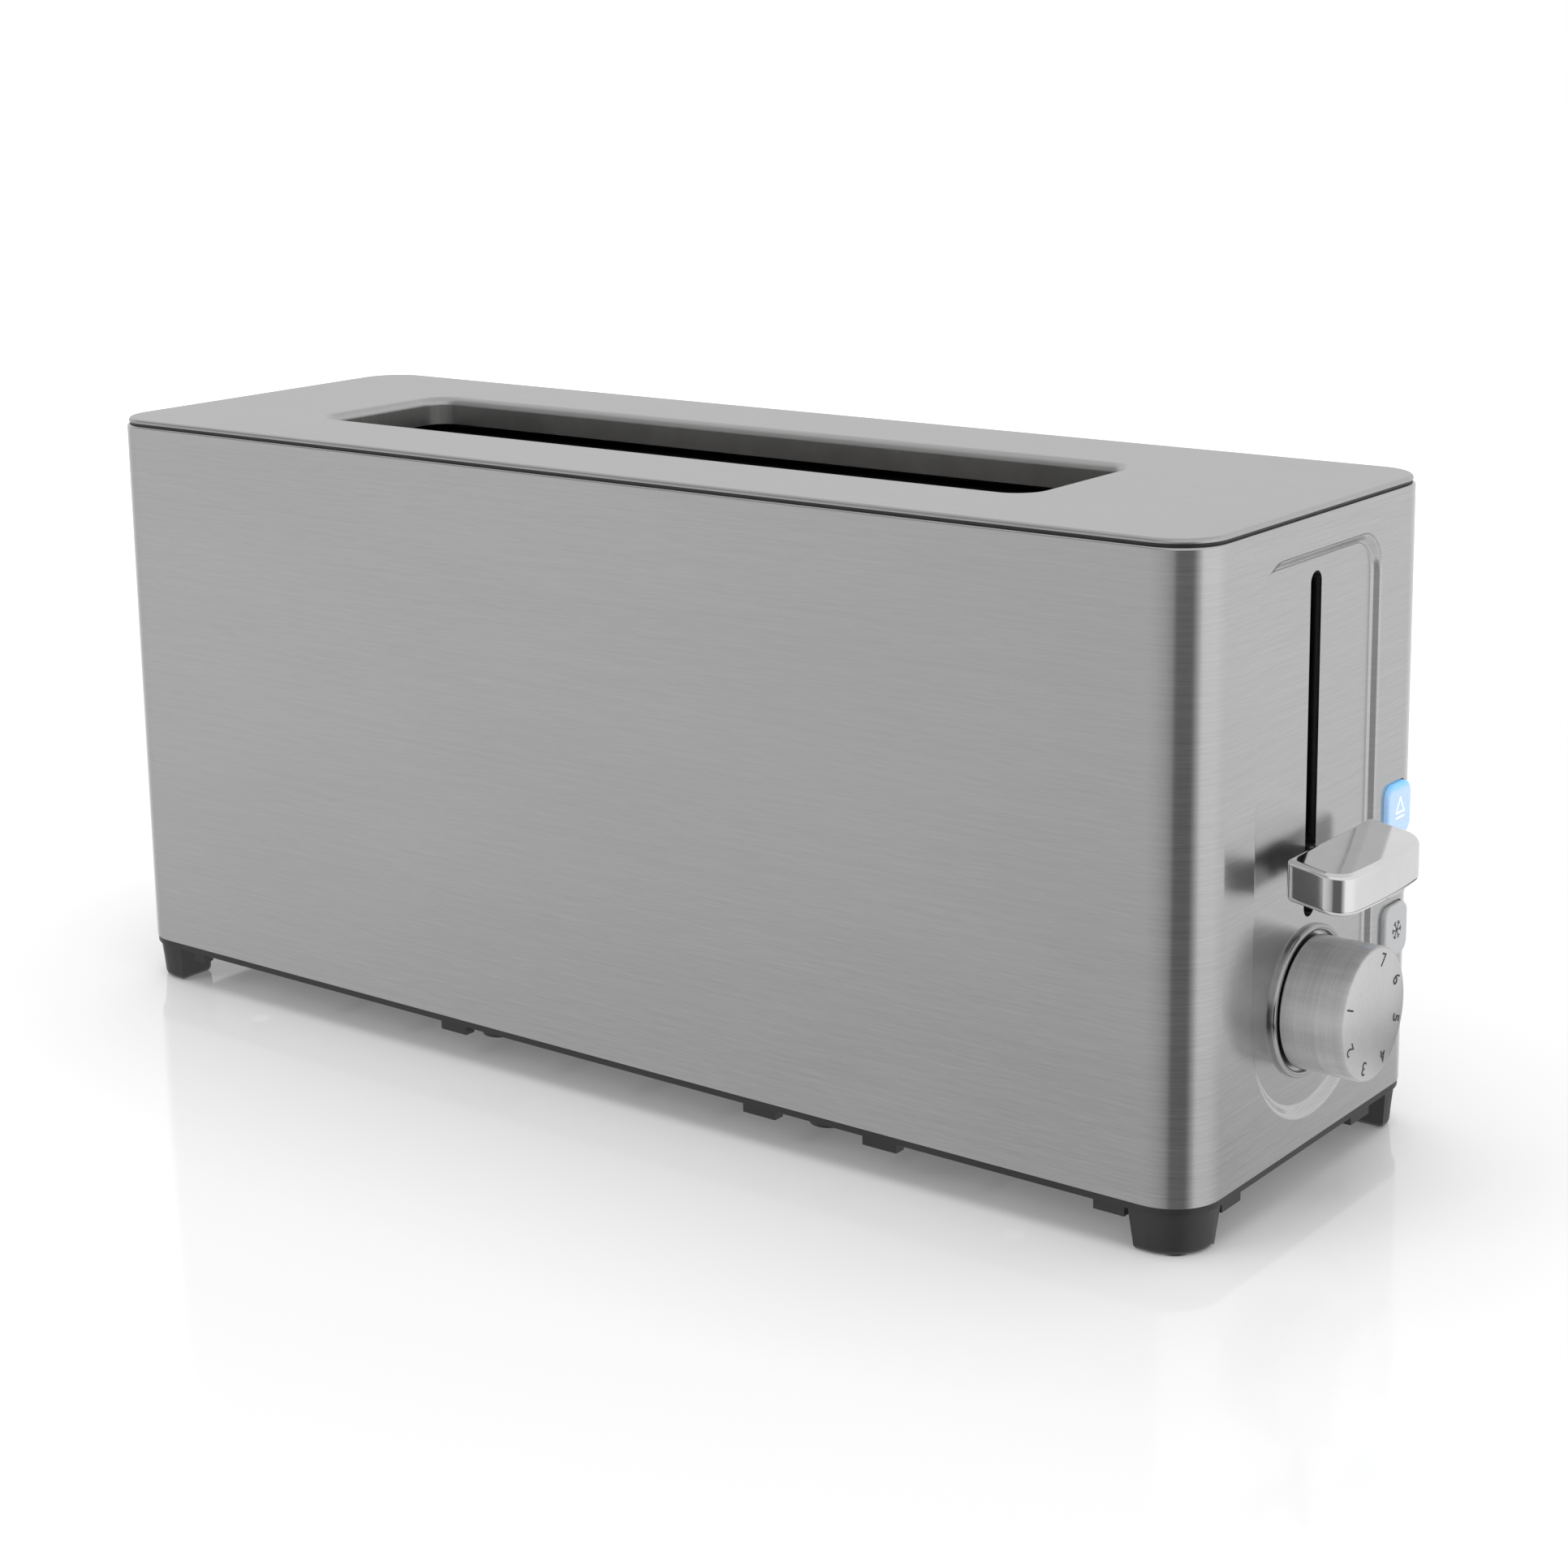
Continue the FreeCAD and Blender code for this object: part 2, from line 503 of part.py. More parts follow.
def make_lid():
    """The steel lid, whose edge rolls down into the bread opening."""
    lid = body("lid_body")
    plate = sketch(lid, "lid_outline", "Z", "lid_under")
    rounded_rectangle(plate, *around("lid_inset"))
    feature(lid, "Pad", "lid_plate", plate, "lid_steel")
    soften(lid, "lid_edge", "lid_edge_radius", at_level("Z", size("lid_top")))
    collar = sketch(lid, "collar_outline", "Z", "flange_end")
    rounded_rectangle(collar, *slot_spans("roll_radius"))
    feature(lid, "Pad", "lid_collar", collar, "flange_depth - lid_steel / 2")
    opening = sketch(lid, "opening_outline", "Z", "flange_end - 1")
    rounded_rectangle(opening, *slot_spans("0"))
    feature(lid, "Pocket", "lid_opening", opening, "flange_depth + 2")
    soften(lid, "lid_roll", "roll_radius * 999 / 1000", opening_edges("lid_top", "0"))
    under = body("under_body")
    ring = sketch(under, "under_outline", "Z", "flange_end - 1")
    rounded_rectangle(ring, *slot_spans("roll_radius + 1"))
    feature(under, "Pad", "under_block", ring, "flange_depth - lid_steel + 1")
    inner = sketch(under, "under_opening_outline", "Z", "flange_end - 2")
    rounded_rectangle(inner, *slot_spans("lid_steel"))
    feature(under, "Pocket", "under_opening", inner, "flange_depth + 2")
    soften(under, "under_roll", "roll_radius - lid_steel", opening_edges("lid_under", "lid_steel"))
    part("top_lid", carve("lid_cut", lid, [under]))


def ring(name, outer, inner, level, length):
    """A flat rounded frame between two outlines."""
    owner = body(name)
    drawing = sketch(owner, name + "_outside", "Z", level)
    rounded_rectangle(drawing, *outer)
    feature(owner, "Pad", name + "_pad", drawing, length)
    hole = sketch(owner, name + "_inside", "Z", f"{level} - 1")
    rounded_rectangle(hole, *inner)
    feature(owner, "Pocket", name + "_hole", hole, f"{length} + 2")
    return owner


def make_lid_frames():
    """The black seal under the lid, and the inner frame round the bread slot."""
    seal = ring("seal_body", around("seal_inset"), around("seal_inset + seal_width"),
                "sleeve_top - seal_depth", "lid_under - sleeve_top + seal_depth")
    part("lid_seal", seal)
    frame = ring("slot_frame_body", slot_spans("slot_frame_border"), slot_spans("0 - slot_ledge"),
                 "frame_top - slot_frame_steel", "slot_frame_steel")
    part("slot_frame", frame)


# --- Base, feet and crumb tray ------------------------------------------------------------------

def mirrored(sign, near, far):
    """A span across Y on one side of the middle plane."""
    return (near, far) if sign > 0 else (f"0 - ({far})", f"0 - ({near})")


# Each hanging tab's middle and its width.
FRONT_TABS = (("27 - half_length", 5), ("-55", 10), ("58.5", 11), ("half_length - 94", 11),
              ("half_length - 24", 9))
END_TABS = (("-40.2", 9.6), ("30.3", 10.6))
PAD_PLACES = (-44, 76)
SCREW_PLACES = (("plate_face + foot_flange / 2", "lever"), ("rear_plate_x - foot_flange / 2", "rear"))
SIGNS = ((1, "right"), (-1, "left"))


def make_base():
    """The moulded base: floor, upstand, hanging tabs, pads and vents."""
    floor = slab("base_floor", "Z", *around("gap"), "foot_height", "band_height")
    wall = ring("base_wall_ring", around("steel + gap"), around("steel + gap + base_wall"),
                "foot_height + band_height / 2", "base_upstand")
    pieces = [floor, wall]
    for index, (middle, width) in enumerate(FRONT_TABS):
        for sign, side in SIGNS:
            y_span = mirrored(sign, "half_width - tab_inset - tab_depth", "half_width - tab_inset")
            pieces.append(block(f"tab_{side}_{index}", (f"{middle} - {width} / 2", f"{middle} + {width} / 2"),
                                y_span, ("foot_height - tab_drop", "foot_height + band_height / 2")))
    for index, (middle, width) in enumerate(END_TABS):
        pieces.append(block(f"tab_end_{index}",
                            ("half_length - tab_inset - tab_depth", "half_length - tab_inset"),
                            (f"{middle} - {width} / 2", f"{middle} + {width} / 2"),
                            ("foot_height - tab_drop", "foot_height + band_height / 2")))
    for place in PAD_PLACES:
        for sign, side in SIGNS:
            pieces.append(bar(f"pad_{side}_{place + 100}", "Z", "pad_radius",
                              (f"{place}", f"{sign} * (half_width - pad_inset - pad_radius)",
                               "foot_height - tab_drop"), "tab_drop + band_height / 2"))
    solid = join("base_solid", pieces)
    tools = [block("base_mouth",
                   ("0 - half_length - 1", "base_wall + steel + mouth_depth - half_length"),
                   ("0 - tray_width / 2 - 2 * gap", "tray_width / 2 + 2 * gap"),
                   ("sleeve_bottom", "sleeve_bottom + base_upstand + 1")),
             block("panel_notch", ("panel_face - 2 * steel - base_wall", "half_length"),
                   ("0 - panel_width / 2 - steel - gap", "panel_width / 2 + steel + gap"),
                   ("sleeve_bottom + panel_bottom - steel - gap", "sleeve_bottom + base_upstand + 1"))]
    for index in range(int(size("vent_count"))):
        x = f"vent_start + {index} * vent_pitch"
        tools.append(block(f"vent_{index}", (x, f"{x} + vent_width"),
                           ("0 - vent_length / 2", "vent_length / 2"),
                           ("foot_height - 1", "sleeve_bottom + 1")))
    for place, end in SCREW_PLACES:
        for sign, side in SIGNS:
            tools.append(bar(f"screw_hole_{end}_{side}", "Z", "screw_radius + running_fit",
                             (place, f"{sign} * (plate_width / 2 - leg_width / 2)", "foot_height - 1"),
                             "band_height + 2"))
    part("base_frame", carve("base_cut", solid, tools))


def tapered(name, across, up, radius):
    """A block that narrows from the base down to the worktop."""
    owner = body(name)
    outline = sketch(owner, name + "_outline", "Z", "foot_height - gap / 30")
    rounded_rectangle(outline, across, up, radius)
    feature(owner, "Pad", name + "_pad", outline, "foot_height - gap / 30", False, "0 - foot_taper")
    return owner


def make_feet():
    """Four tapered feet under the corners, each with a rubber pad let into its sole."""
    for x_sign, end in ((1, "lever"), (-1, "rear")):
        for y_sign, side in SIGNS:
            name = f"foot_{end}_{side}"
            x_span = (("half_length - foot_inset - foot_length", "half_length + foot_corner") if x_sign > 0
                      else ("0 - half_length - foot_corner", "foot_inset + foot_length - half_length"))
            y_span = (("half_width - foot_inset - foot_width", "half_width + foot_corner") if y_sign > 0
                      else ("0 - half_width - foot_corner", "foot_inset + foot_width - half_width"))
            plinth = tapered(name + "_plinth", *around("foot_inset"))
            corner = tapered(name + "_corner", x_span, y_span, "foot_corner")
            blank = overlap(name + "_blank", plinth, corner)
            doc.recompute()
            sole = at_level("Z", 0.0)
            rounded = doc.addObject("Part::Fillet", name + "_round")
            rounded.Base = blank
            rounded.Edges = [(i, size("foot_edge"), size("foot_edge"))
                             for i, edge in enumerate(blank.Shape.Edges, start=1) if sole(edge)]
            middle = (f"{x_sign} * (half_length - foot_inset - foot_length / 2)",
                      f"{y_sign} * (half_width - foot_inset - foot_width / 2)")
            pocket = bar(name + "_pocket", "Z", "rubber_radius + running_fit", (*middle, "-1"),
                         "rubber_depth + 1")
            part(name, carve(name + "_cut", rounded, [pocket]))
    pads = [bar(f"rubber_{x_sign + 1}_{y_sign + 1}", "Z", "rubber_radius",
                (f"{x_sign} * (half_length - foot_inset - foot_length / 2)",
                 f"{y_sign} * (half_width - foot_inset - foot_width / 2)", "0"), "rubber_depth")
            for x_sign in (1, -1) for y_sign in (1, -1)]
    part("foot_pads", group("rubber_pads", pads))


def make_tray():
    """The crumb tray, which slides out under the rear end, and its grip."""
    pan = body("tray_body")
    outline = sketch(pan, "tray_outline", "Z", "tray_bottom")
    rounded_rectangle(outline, ("handle_depth - half_length", "tray_end"),
                      ("0 - tray_width / 2", "tray_width / 2"), "tray_corner")
    feature(pan, "Pad", "tray_pad", outline, "tray_height")
    hollow = sketch(pan, "tray_hollow_outline", "Z", "tray_bottom + tray_steel")
    rounded_rectangle(hollow, ("handle_depth - half_length + tray_steel", "tray_end - tray_steel"),
                      ("tray_steel - tray_width / 2", "tray_width / 2 - tray_steel"),
                      "tray_corner - tray_steel")
    feature(pan, "Pocket", "tray_hollow", hollow, "tray_height")
    part("crumb_tray", pan)
    grip = slab("grip_body", "X", ("0 - tray_width / 2", "tray_width / 2"),
                ("tray_bottom", "tray_bottom + handle_height"), "handle_corner",
                "0 - half_length - handle_proud", "handle_proud + handle_depth")
    scoop = bar("grip_scoop", "Y", "scoop_radius",
                ("0 - half_length - handle_proud", "0 - scoop_width / 2", "tray_bottom + scoop_rise"),
                "scoop_width")
    part("crumb_tray_handle", carve("grip_cut", grip, [scoop]))


# --- Toasting chamber ---------------------------------------------------------------------------

def guide_slot(name, plate_x, y_sign, level):
    """A level slot in an end plate that a bread guide's rail slides along."""
    inner, outer = "guide_y - rail_radius - wire_fit", "guide_y + guide_open + rail_radius + wire_fit"
    span = (inner, outer) if y_sign > 0 else (f"0 - ({outer})", f"0 - ({inner})")
    return block(name, (f"{plate_x} - 1", f"{plate_x} + plate_steel + 1"), span,
                 (f"{level} - rail_radius - wire_fit", f"{level} + rail_radius + wire_fit"))


def end_plate(name, plate_x, outwards):
    """A steel plate across one end of the chamber, with legs and slots."""
    front = f"{plate_x} + plate_steel"
    pieces = [block(name + "_web", (plate_x, front), ("0 - plate_width / 2", "plate_width / 2"),
                    ("plate_bottom", "plate_top"))]
    for sign, side in SIGNS:
        y_span = (("plate_width / 2 - leg_width", "plate_width / 2") if sign > 0
                  else ("0 - plate_width / 2", "leg_width - plate_width / 2"))
        pieces.append(block(f"{name}_leg_{side}", (plate_x, front), y_span,
                            ("sleeve_bottom", "plate_bottom + 1")))
        x_span = ((plate_x, f"{front} + foot_flange") if outwards > 0
                  else (f"{plate_x} - foot_flange", front))
        pieces.append(block(f"{name}_flange_{side}", x_span, y_span,
                            ("sleeve_bottom", "sleeve_bottom + plate_steel")))
    tools = [block(name + "_rack_slot", (f"{plate_x} - 1", f"{front} + 1"),
                   ("0 - rack_thick / 2 - 2 * gap", "rack_thick / 2 + 2 * gap"),
                   ("rack_z - slot_play", "rack_z + rack_height + travel + slot_play"))]
    for sign, side in SIGNS:
        for level in ("guide_low", "guide_high"):
            tools.append(guide_slot(f"{name}_{side}_{level}", plate_x, sign, level))
    place = f"{front} + foot_flange / 2" if outwards > 0 else f"{plate_x} - foot_flange / 2"
    for sign, side in SIGNS:
        tools.append(bar(f"{name}_hole_{side}", "Z", "screw_radius",
                         (place, f"{sign} * (plate_width / 2 - leg_width / 2)", "sleeve_bottom - 1"),
                         "plate_steel + 2"))
    return pieces, tools


def make_plates():
    """The two end plates; the one at the lever end also holds the guide rod."""
    pieces, tools = end_plate("lever_plate", "lever_plate_x", 1)
    for name, low in (("rod_shelf_top", "plate_top - plate_steel"), ("rod_shelf_low", "plate_bottom")):
        pieces.append(block(name, ("lever_plate_x", "lever_plate_x + top_flange"),
                            ("0 - slider_width / 2 - shelf_aside", "spring_y + shelf_past_spring"),
                            (low, f"{low} + plate_steel")))
        tools.append(bar(name + "_hole", "Z", "rod_radius + running_fit", ("rod_x", "0", f"{low} - 1"),
                         "plate_steel + 2"))
    tools.append(block("spring_anchor_slot", ("rod_x - spring_radius - 1", "rod_x + spring_radius + 1"),
                       ("spring_y + anchor_aside", "spring_y + anchor_aside + anchor_width"),
                       ("plate_top - plate_steel - 1", "plate_top + 1")))
    part("lever_end_plate", carve("lever_plate_cut", join("lever_plate_solid", pieces), tools))
    pieces, tools = end_plate("rear_plate", "rear_plate_x", -1)
    part("rear_end_plate", carve("rear_plate_cut", join("rear_plate_solid", pieces), tools))


def make_heaters():
    """Heat shields, mica boards and their heating ribbon, on both sides of the slot."""
    x_span = ("rear_plate_x + plate_steel + gap", "lever_plate_x - gap")
    rows = int(size("ribbon_rows"))
    for sign, side in SIGNS:
        shield = block(f"shield_{side}", x_span, mirrored(sign, "shield_y", "shield_y + shield_steel"),
                       ("plate_bottom + shield_inset", "plate_top - shield_inset"))
        part(f"heat_shield_{side}", shield)
        board = block(f"mica_{side}", x_span, mirrored(sign, "board_y", "board_y + mica"),
                      ("heater_low - board_margin", "heater_high + board_margin"))
        part(f"heater_board_{side}", board)
        ribbons = []
        for row in range(rows):
            level = (f"heater_low + {row} * (heater_high - heater_low - ribbon_width)"
                     " / (ribbon_rows - 1)")
            ribbons.append(block(f"ribbon_{side}_{row}",
                                 ("slot_low_x - ribbon_past", "slot_high_x + ribbon_past"),
                                 mirrored(sign, "board_y - ribbon_thick", "board_y"),
                                 (level, f"{level} + ribbon_width")))
        part(f"heater_ribbon_{side}", group(f"ribbons_{side}", ribbons))


def make_guides():
    """The two wire guides that close on the bread while the rack goes down."""
    count = int(size("guide_wires"))
    for sign, side in SIGNS:
        y = f"{sign} * guide_y"
        rail_start = "rear_plate_x - rail_past_plate"
        rail_length = "plate_face - rear_plate_x + 2 * rail_past_plate"
        pieces = [bar(f"rail_{side}_{level}", "X", "rail_radius", (rail_start, y, level), rail_length)
                  for level in ("guide_low", "guide_high")]
        for index in range(count):
            x = f"slot_low_x + wire_inset + {index} * (slot_length - 2 * wire_inset) / (guide_wires - 1)"
            pieces.append(bar(f"wire_{side}_{index}", "Z", "wire_radius", (x, y, "guide_low"),
                              "guide_high - guide_low"))
        part(f"bread_guide_{side}", join(f"guide_{side}", pieces))


def make_rack():
    """The rack that lifts the bread: a blade with wings, and the riser that ties it to the slider."""
    half = ("0 - rack_thick / 2", "rack_thick / 2")
    riser_back = "plate_face + riser_gap"
    pieces = [block("rack_blade", ("rear_plate_x - rack_past_plate", riser_back), half,
                    ("rack_z", "rack_z + rack_height"))]
    for index in range(int(size("wings"))):
        x = f"slot_low_x + wing_inset + {index} * (slot_length - 2 * wing_inset) / (wings - 1)"
        pieces.append(block(f"wing_{index}", (f"{x} - wing_width / 2", f"{x} + wing_width / 2"),
                            ("0 - wing_reach", "wing_reach"),
                            ("rack_z + rack_height - wing_thick", "rack_z + rack_height")))
    part("bread_rack", join("rack_solid", pieces))
    part("rack_riser", block("riser_block", (riser_back, "rod_x - slider_length / 2"), half,
                             ("rack_z", "slider_high - riser_gap")))


# --- Carriage and lever -------------------------------------------------------------------------

def make_carriage():
    """The slider on its rod, with bushes, latch plate and lever stem."""
    half = "slider_width / 2"
    x_span = ("rod_x - slider_length / 2", "rod_x + slider_length / 2")
    latch_arm = block("latch_arm", ("magnet_x - arm_width / 2", "magnet_x + arm_width / 2"),
                      (f"0 - {half} - arm_length", f"arm_root - {half}"),
                      ("slider_low", "slider_low + arm_height"))
    hook_arm = block("hook_arm_block", ("rod_x - hook_width / 2", "rod_x + hook_width / 2"),
                     (f"{half} - arm_root", f"{half} + hook_arm"),
                     ("slider_low", "slider_low + arm_height"))
    core = block("slider_block", x_span, (f"0 - {half}", half), ("slider_low", "slider_high"))
    bore = bar("slider_bore", "Z", "bush_radius", ("rod_x", "0", "slider_low - 1"),
               "slider_height + 2")
    part("carriage_slider", carve("slider_cut", join("slider_solid", [core, latch_arm, hook_arm]),
                                  [bore]))
    bushes = []
    for name, low in (("bush_low", "slider_low"), ("bush_high", "slider_high - bush_height")):
        outer = bar(name + "_outside", "Z", "bush_radius", ("rod_x", "0", low), "bush_height")
        inner = bar(name + "_bore", "Z", "rod_radius + running_fit", ("rod_x", "0", f"{low} - 1"),
                    "bush_height + 2")
        bushes.append(carve(name, outer, [inner]))
    part("slider_bushes", group("bush_pair", bushes))
    part("guide_rod", bar("rod", "Z", "rod_radius", ("rod_x", "0", "plate_bottom - rod_past"),
                          "plate_top - plate_bottom + rod_past"))
    part("latch_plate", block("latch_plate_block",
                              ("magnet_x - armature_size / 2", "magnet_x + armature_size / 2"),
                              ("magnet_y - armature_size / 2", "magnet_y + armature_size / 2"),
                              ("slider_low - armature_thick", "slider_low")))
    part("lever_stem", block("stem_block", (x_span[1], "knob_start + stem_grip"),
                             ("0 - stem_thick / 2", "stem_thick / 2"),
                             ("lever_mid - stem_height / 2", "lever_mid + stem_height / 2")))


def make_lever_knob():
    """The polished lever: a drooping paddle with round outer corners and a bowed front."""
    profile = body("knob_profile")
    side = sketch(profile, "knob_side", "Y", "0 - lever_width / 2")
    low, high = "lever_mid - lever_thick / 2", "lever_mid + lever_thick / 2"
    polygon(side, (("knob_start", f"{low} + lever_droop / 2"), ("knob_end", f"{low} - lever_droop / 2"),
                   ("knob_end", f"{high} - lever_droop / 2"), ("knob_start", f"{high} + lever_droop / 2")))
    feature(profile, "Pad", "knob_side_pad", side, "lever_width", False)
    plan = body("knob_plan")
    top = sketch(plan, "knob_top", "Z", "lever_mid - lever_thick")
    knob_plan_outline(top)
    feature(plan, "Pad", "knob_top_pad", top, "2 * lever_thick")
    blank = overlap("knob_blank", profile, plan)
    doc.recompute()
    rounded = doc.addObject("Part::Fillet", "knob_round")
    rounded.Base = blank
    radius = size("lever_edge")
    rounded.Edges = [(i, radius, radius) for i in range(1, len(blank.Shape.Edges) + 1)]
    pocket = block("stem_pocket", ("knob_start - 1", "knob_start + stem_grip + running_fit"),
                   ("0 - stem_thick / 2 - running_fit", "stem_thick / 2 + running_fit"),
                   ("lever_mid - stem_height / 2 - running_fit",
                    "lever_mid + stem_height / 2 + running_fit"))
    part("lever_knob", carve("knob_cut", rounded, [pocket]))


def knob_plan_outline(drawing):
    """The lever seen from above: square at the back, bowed and round-cornered in front."""
    x0, x1 = value_of("knob_start"), value_of("knob_end")
    w, r, bow = value_of("lever_width / 2"), value_of("lever_corner"), value_of("lever_bow")
    bow_radius = (w * w + bow * bow) / (2 * bow)
    cx = x1 - bow_radius
    reach = bow_radius - r
    arc_y = w - r
    arc_x = cx + math.sqrt(reach * reach - arc_y * arc_y)
    lean = math.asin(arc_y / reach)
    back = drawing.addGeometry(Part.LineSegment(Vector(x0, w, 0), Vector(x0, -w, 0)))
    low = drawing.addGeometry(Part.LineSegment(Vector(x0, -w, 0), Vector(arc_x, -w, 0)))
    low_arc = drawing.addGeometry(Part.ArcOfCircle(
        Part.Circle(Vector(arc_x, -arc_y, 0), Vector(0, 0, 1), r), -math.pi / 2, -lean))
    front = drawing.addGeometry(Part.ArcOfCircle(
        Part.Circle(Vector(cx, 0, 0), Vector(0, 0, 1), bow_radius), -lean, lean))
    high_arc = drawing.addGeometry(Part.ArcOfCircle(
        Part.Circle(Vector(arc_x, arc_y, 0), Vector(0, 0, 1), r), lean, math.pi / 2))
    high = drawing.addGeometry(Part.LineSegment(Vector(arc_x, w, 0), Vector(x0, w, 0)))
    drawing.addConstraint([Sketcher.Constraint("Coincident", back, 2, low, 1),
                           Sketcher.Constraint("Coincident", high, 2, back, 1),
                           Sketcher.Constraint("Vertical", back),
                           Sketcher.Constraint("Horizontal", low),
                           Sketcher.Constraint("Horizontal", high)])
    chain = [low, low_arc, front, high_arc, high]
    for this, following in zip(chain, chain[1:]):
        drawing.addConstraint(Sketcher.Constraint("Tangent", this, 2, following, 1))
    drawing.addConstraint([Sketcher.Constraint("Equal", low_arc, high_arc),
                           Sketcher.Constraint("PointOnObject", front, 3, -1)])
    bind(drawing, "Radius", (low_arc,), "lever_corner", r)
    bind(drawing, "Radius", (front,),
         "(lever_width ^ 2 / 4 + lever_bow ^ 2) / (2 * lever_bow)", bow_radius)
    bind(drawing, "DistanceX", (-1, 1, back, 1), "knob_start", x0)
    bind(drawing, "DistanceY", (-1, 1, back, 1), "lever_width / 2", w)
    bind(drawing, "DistanceX", (-1, 1, front, 3),
         "knob_end - (lever_width ^ 2 / 4 + lever_bow ^ 2) / (2 * lever_bow)", cx)


def make_spring():
    """The stretched lift spring, from the slider's hook arm up to the end plate's shelf."""
    low = size("slider_low") + size("arm_height")
    high = size("plate_top") - size("plate_steel")
    radius, wire = size("spring_radius"), size("spring_wire")
    end_gap = wire + size("gap")
    height = high - low - 2 * end_gap
    helix = Part.makeHelix(height / size("spring_turns"), height, radius)
    circle = Part.Wire([Part.makeCircle(wire, Vector(radius, 0, 0), Vector(0, 1, 0))])
    coil = Part.Wire(helix.Edges).makePipeShell([circle], True, True)
    spring = doc.addObject("Part::Feature", "spring")
    spring.Shape = coil
    spring.Placement = Placement(Vector(size("rod_x"), size("spring_y"), low + end_gap), Rotation())
    PLACED[spring.Name] = "rod_x"
    part("lift_spring", spring)


# --- Dial and buttons ---------------------------------------------------------------------------

def make_dial():
    """The browning dial with its shaft, its collar and the control behind it."""
    knob = body("dial_body")
    profile = sketch(knob, "dial_profile", "Y", "0")
    start, end, wall = "dial_back", "dial_face", "dial_wall"
    polygon(profile, ((start, "shaft_radius + running_fit"),
                      (f"{end} - {wall}", "shaft_radius + running_fit"),
                      (f"{end} - {wall}", "0"), (end, "0"), (end, "dial_radius - dial_chamfer"),
                      (f"{end} - dial_chamfer", "dial_radius"), (start, "dial_radius"),
                      (start, f"dial_radius - {wall}"), (f"{end} - {wall} * 2", f"dial_radius - {wall}"),
                      (f"{end} - {wall} * 2", "hub_radius"), (start, "hub_radius")))
    spin = knob.newObject("PartDesign::Revolution", "dial_revolution")
    spin.Profile = profile
    spin.ReferenceAxis = (profile, ["H_Axis"])
    spin.Angle = 360
    knob.setExpression("Placement.Base.z", linked("dial_mid"))
    part("dial_knob", knob)
    part("dial_shaft", bar("shaft", "X", "shaft_radius",
                           ("pcb_face + pot_floor + gap", "0", "dial_mid"),
                           "dial_face - dial_wall - shaft_end_gap - pcb_face - pot_floor - gap"))
    seat = bar("collar_outside", "X", "collar_radius", ("panel_face", "0", "dial_mid"), "collar_height")
    hole = bar("collar_bore", "X", "collar_radius - collar_width", ("panel_face - 1", "0", "dial_mid"),
               "collar_height + 2")
    ring_cut = carve("collar_ring", seat, [hole])
    doc.recompute()
    rounded = doc.addObject("Part::Fillet", "collar_round")
    rounded.Base = ring_cut
    front = at_level("X", size("panel_face") + size("collar_height"))
    soft = value_of("collar_width * 12 / 25")
    rounded.Edges = [(i, soft, soft) for i, edge in enumerate(ring_cut.Shape.Edges, start=1)
                     if front(edge)]
    part("dial_collar", rounded)
    housing = block("pot_housing", ("pcb_face", "pcb_face + pot_depth"),
                    ("0 - pot_size / 2", "pot_size / 2"),
                    ("dial_mid - pot_size / 2", "dial_mid + pot_size / 2"))
    neck = bar("pot_neck", "X", "pot_bush_radius", ("pcb_face + pot_depth - 1", "0", "dial_mid"),
               "panel_face - gap - pcb_face - pot_depth + 1")
    bore = bar("pot_bore", "X", "shaft_radius + running_fit", ("pcb_face + pot_floor", "0", "dial_mid"),
               "dial_face - pcb_face")
    part("timer_control", carve("pot_cut", join("pot_solid", [housing, neck]), [bore]))


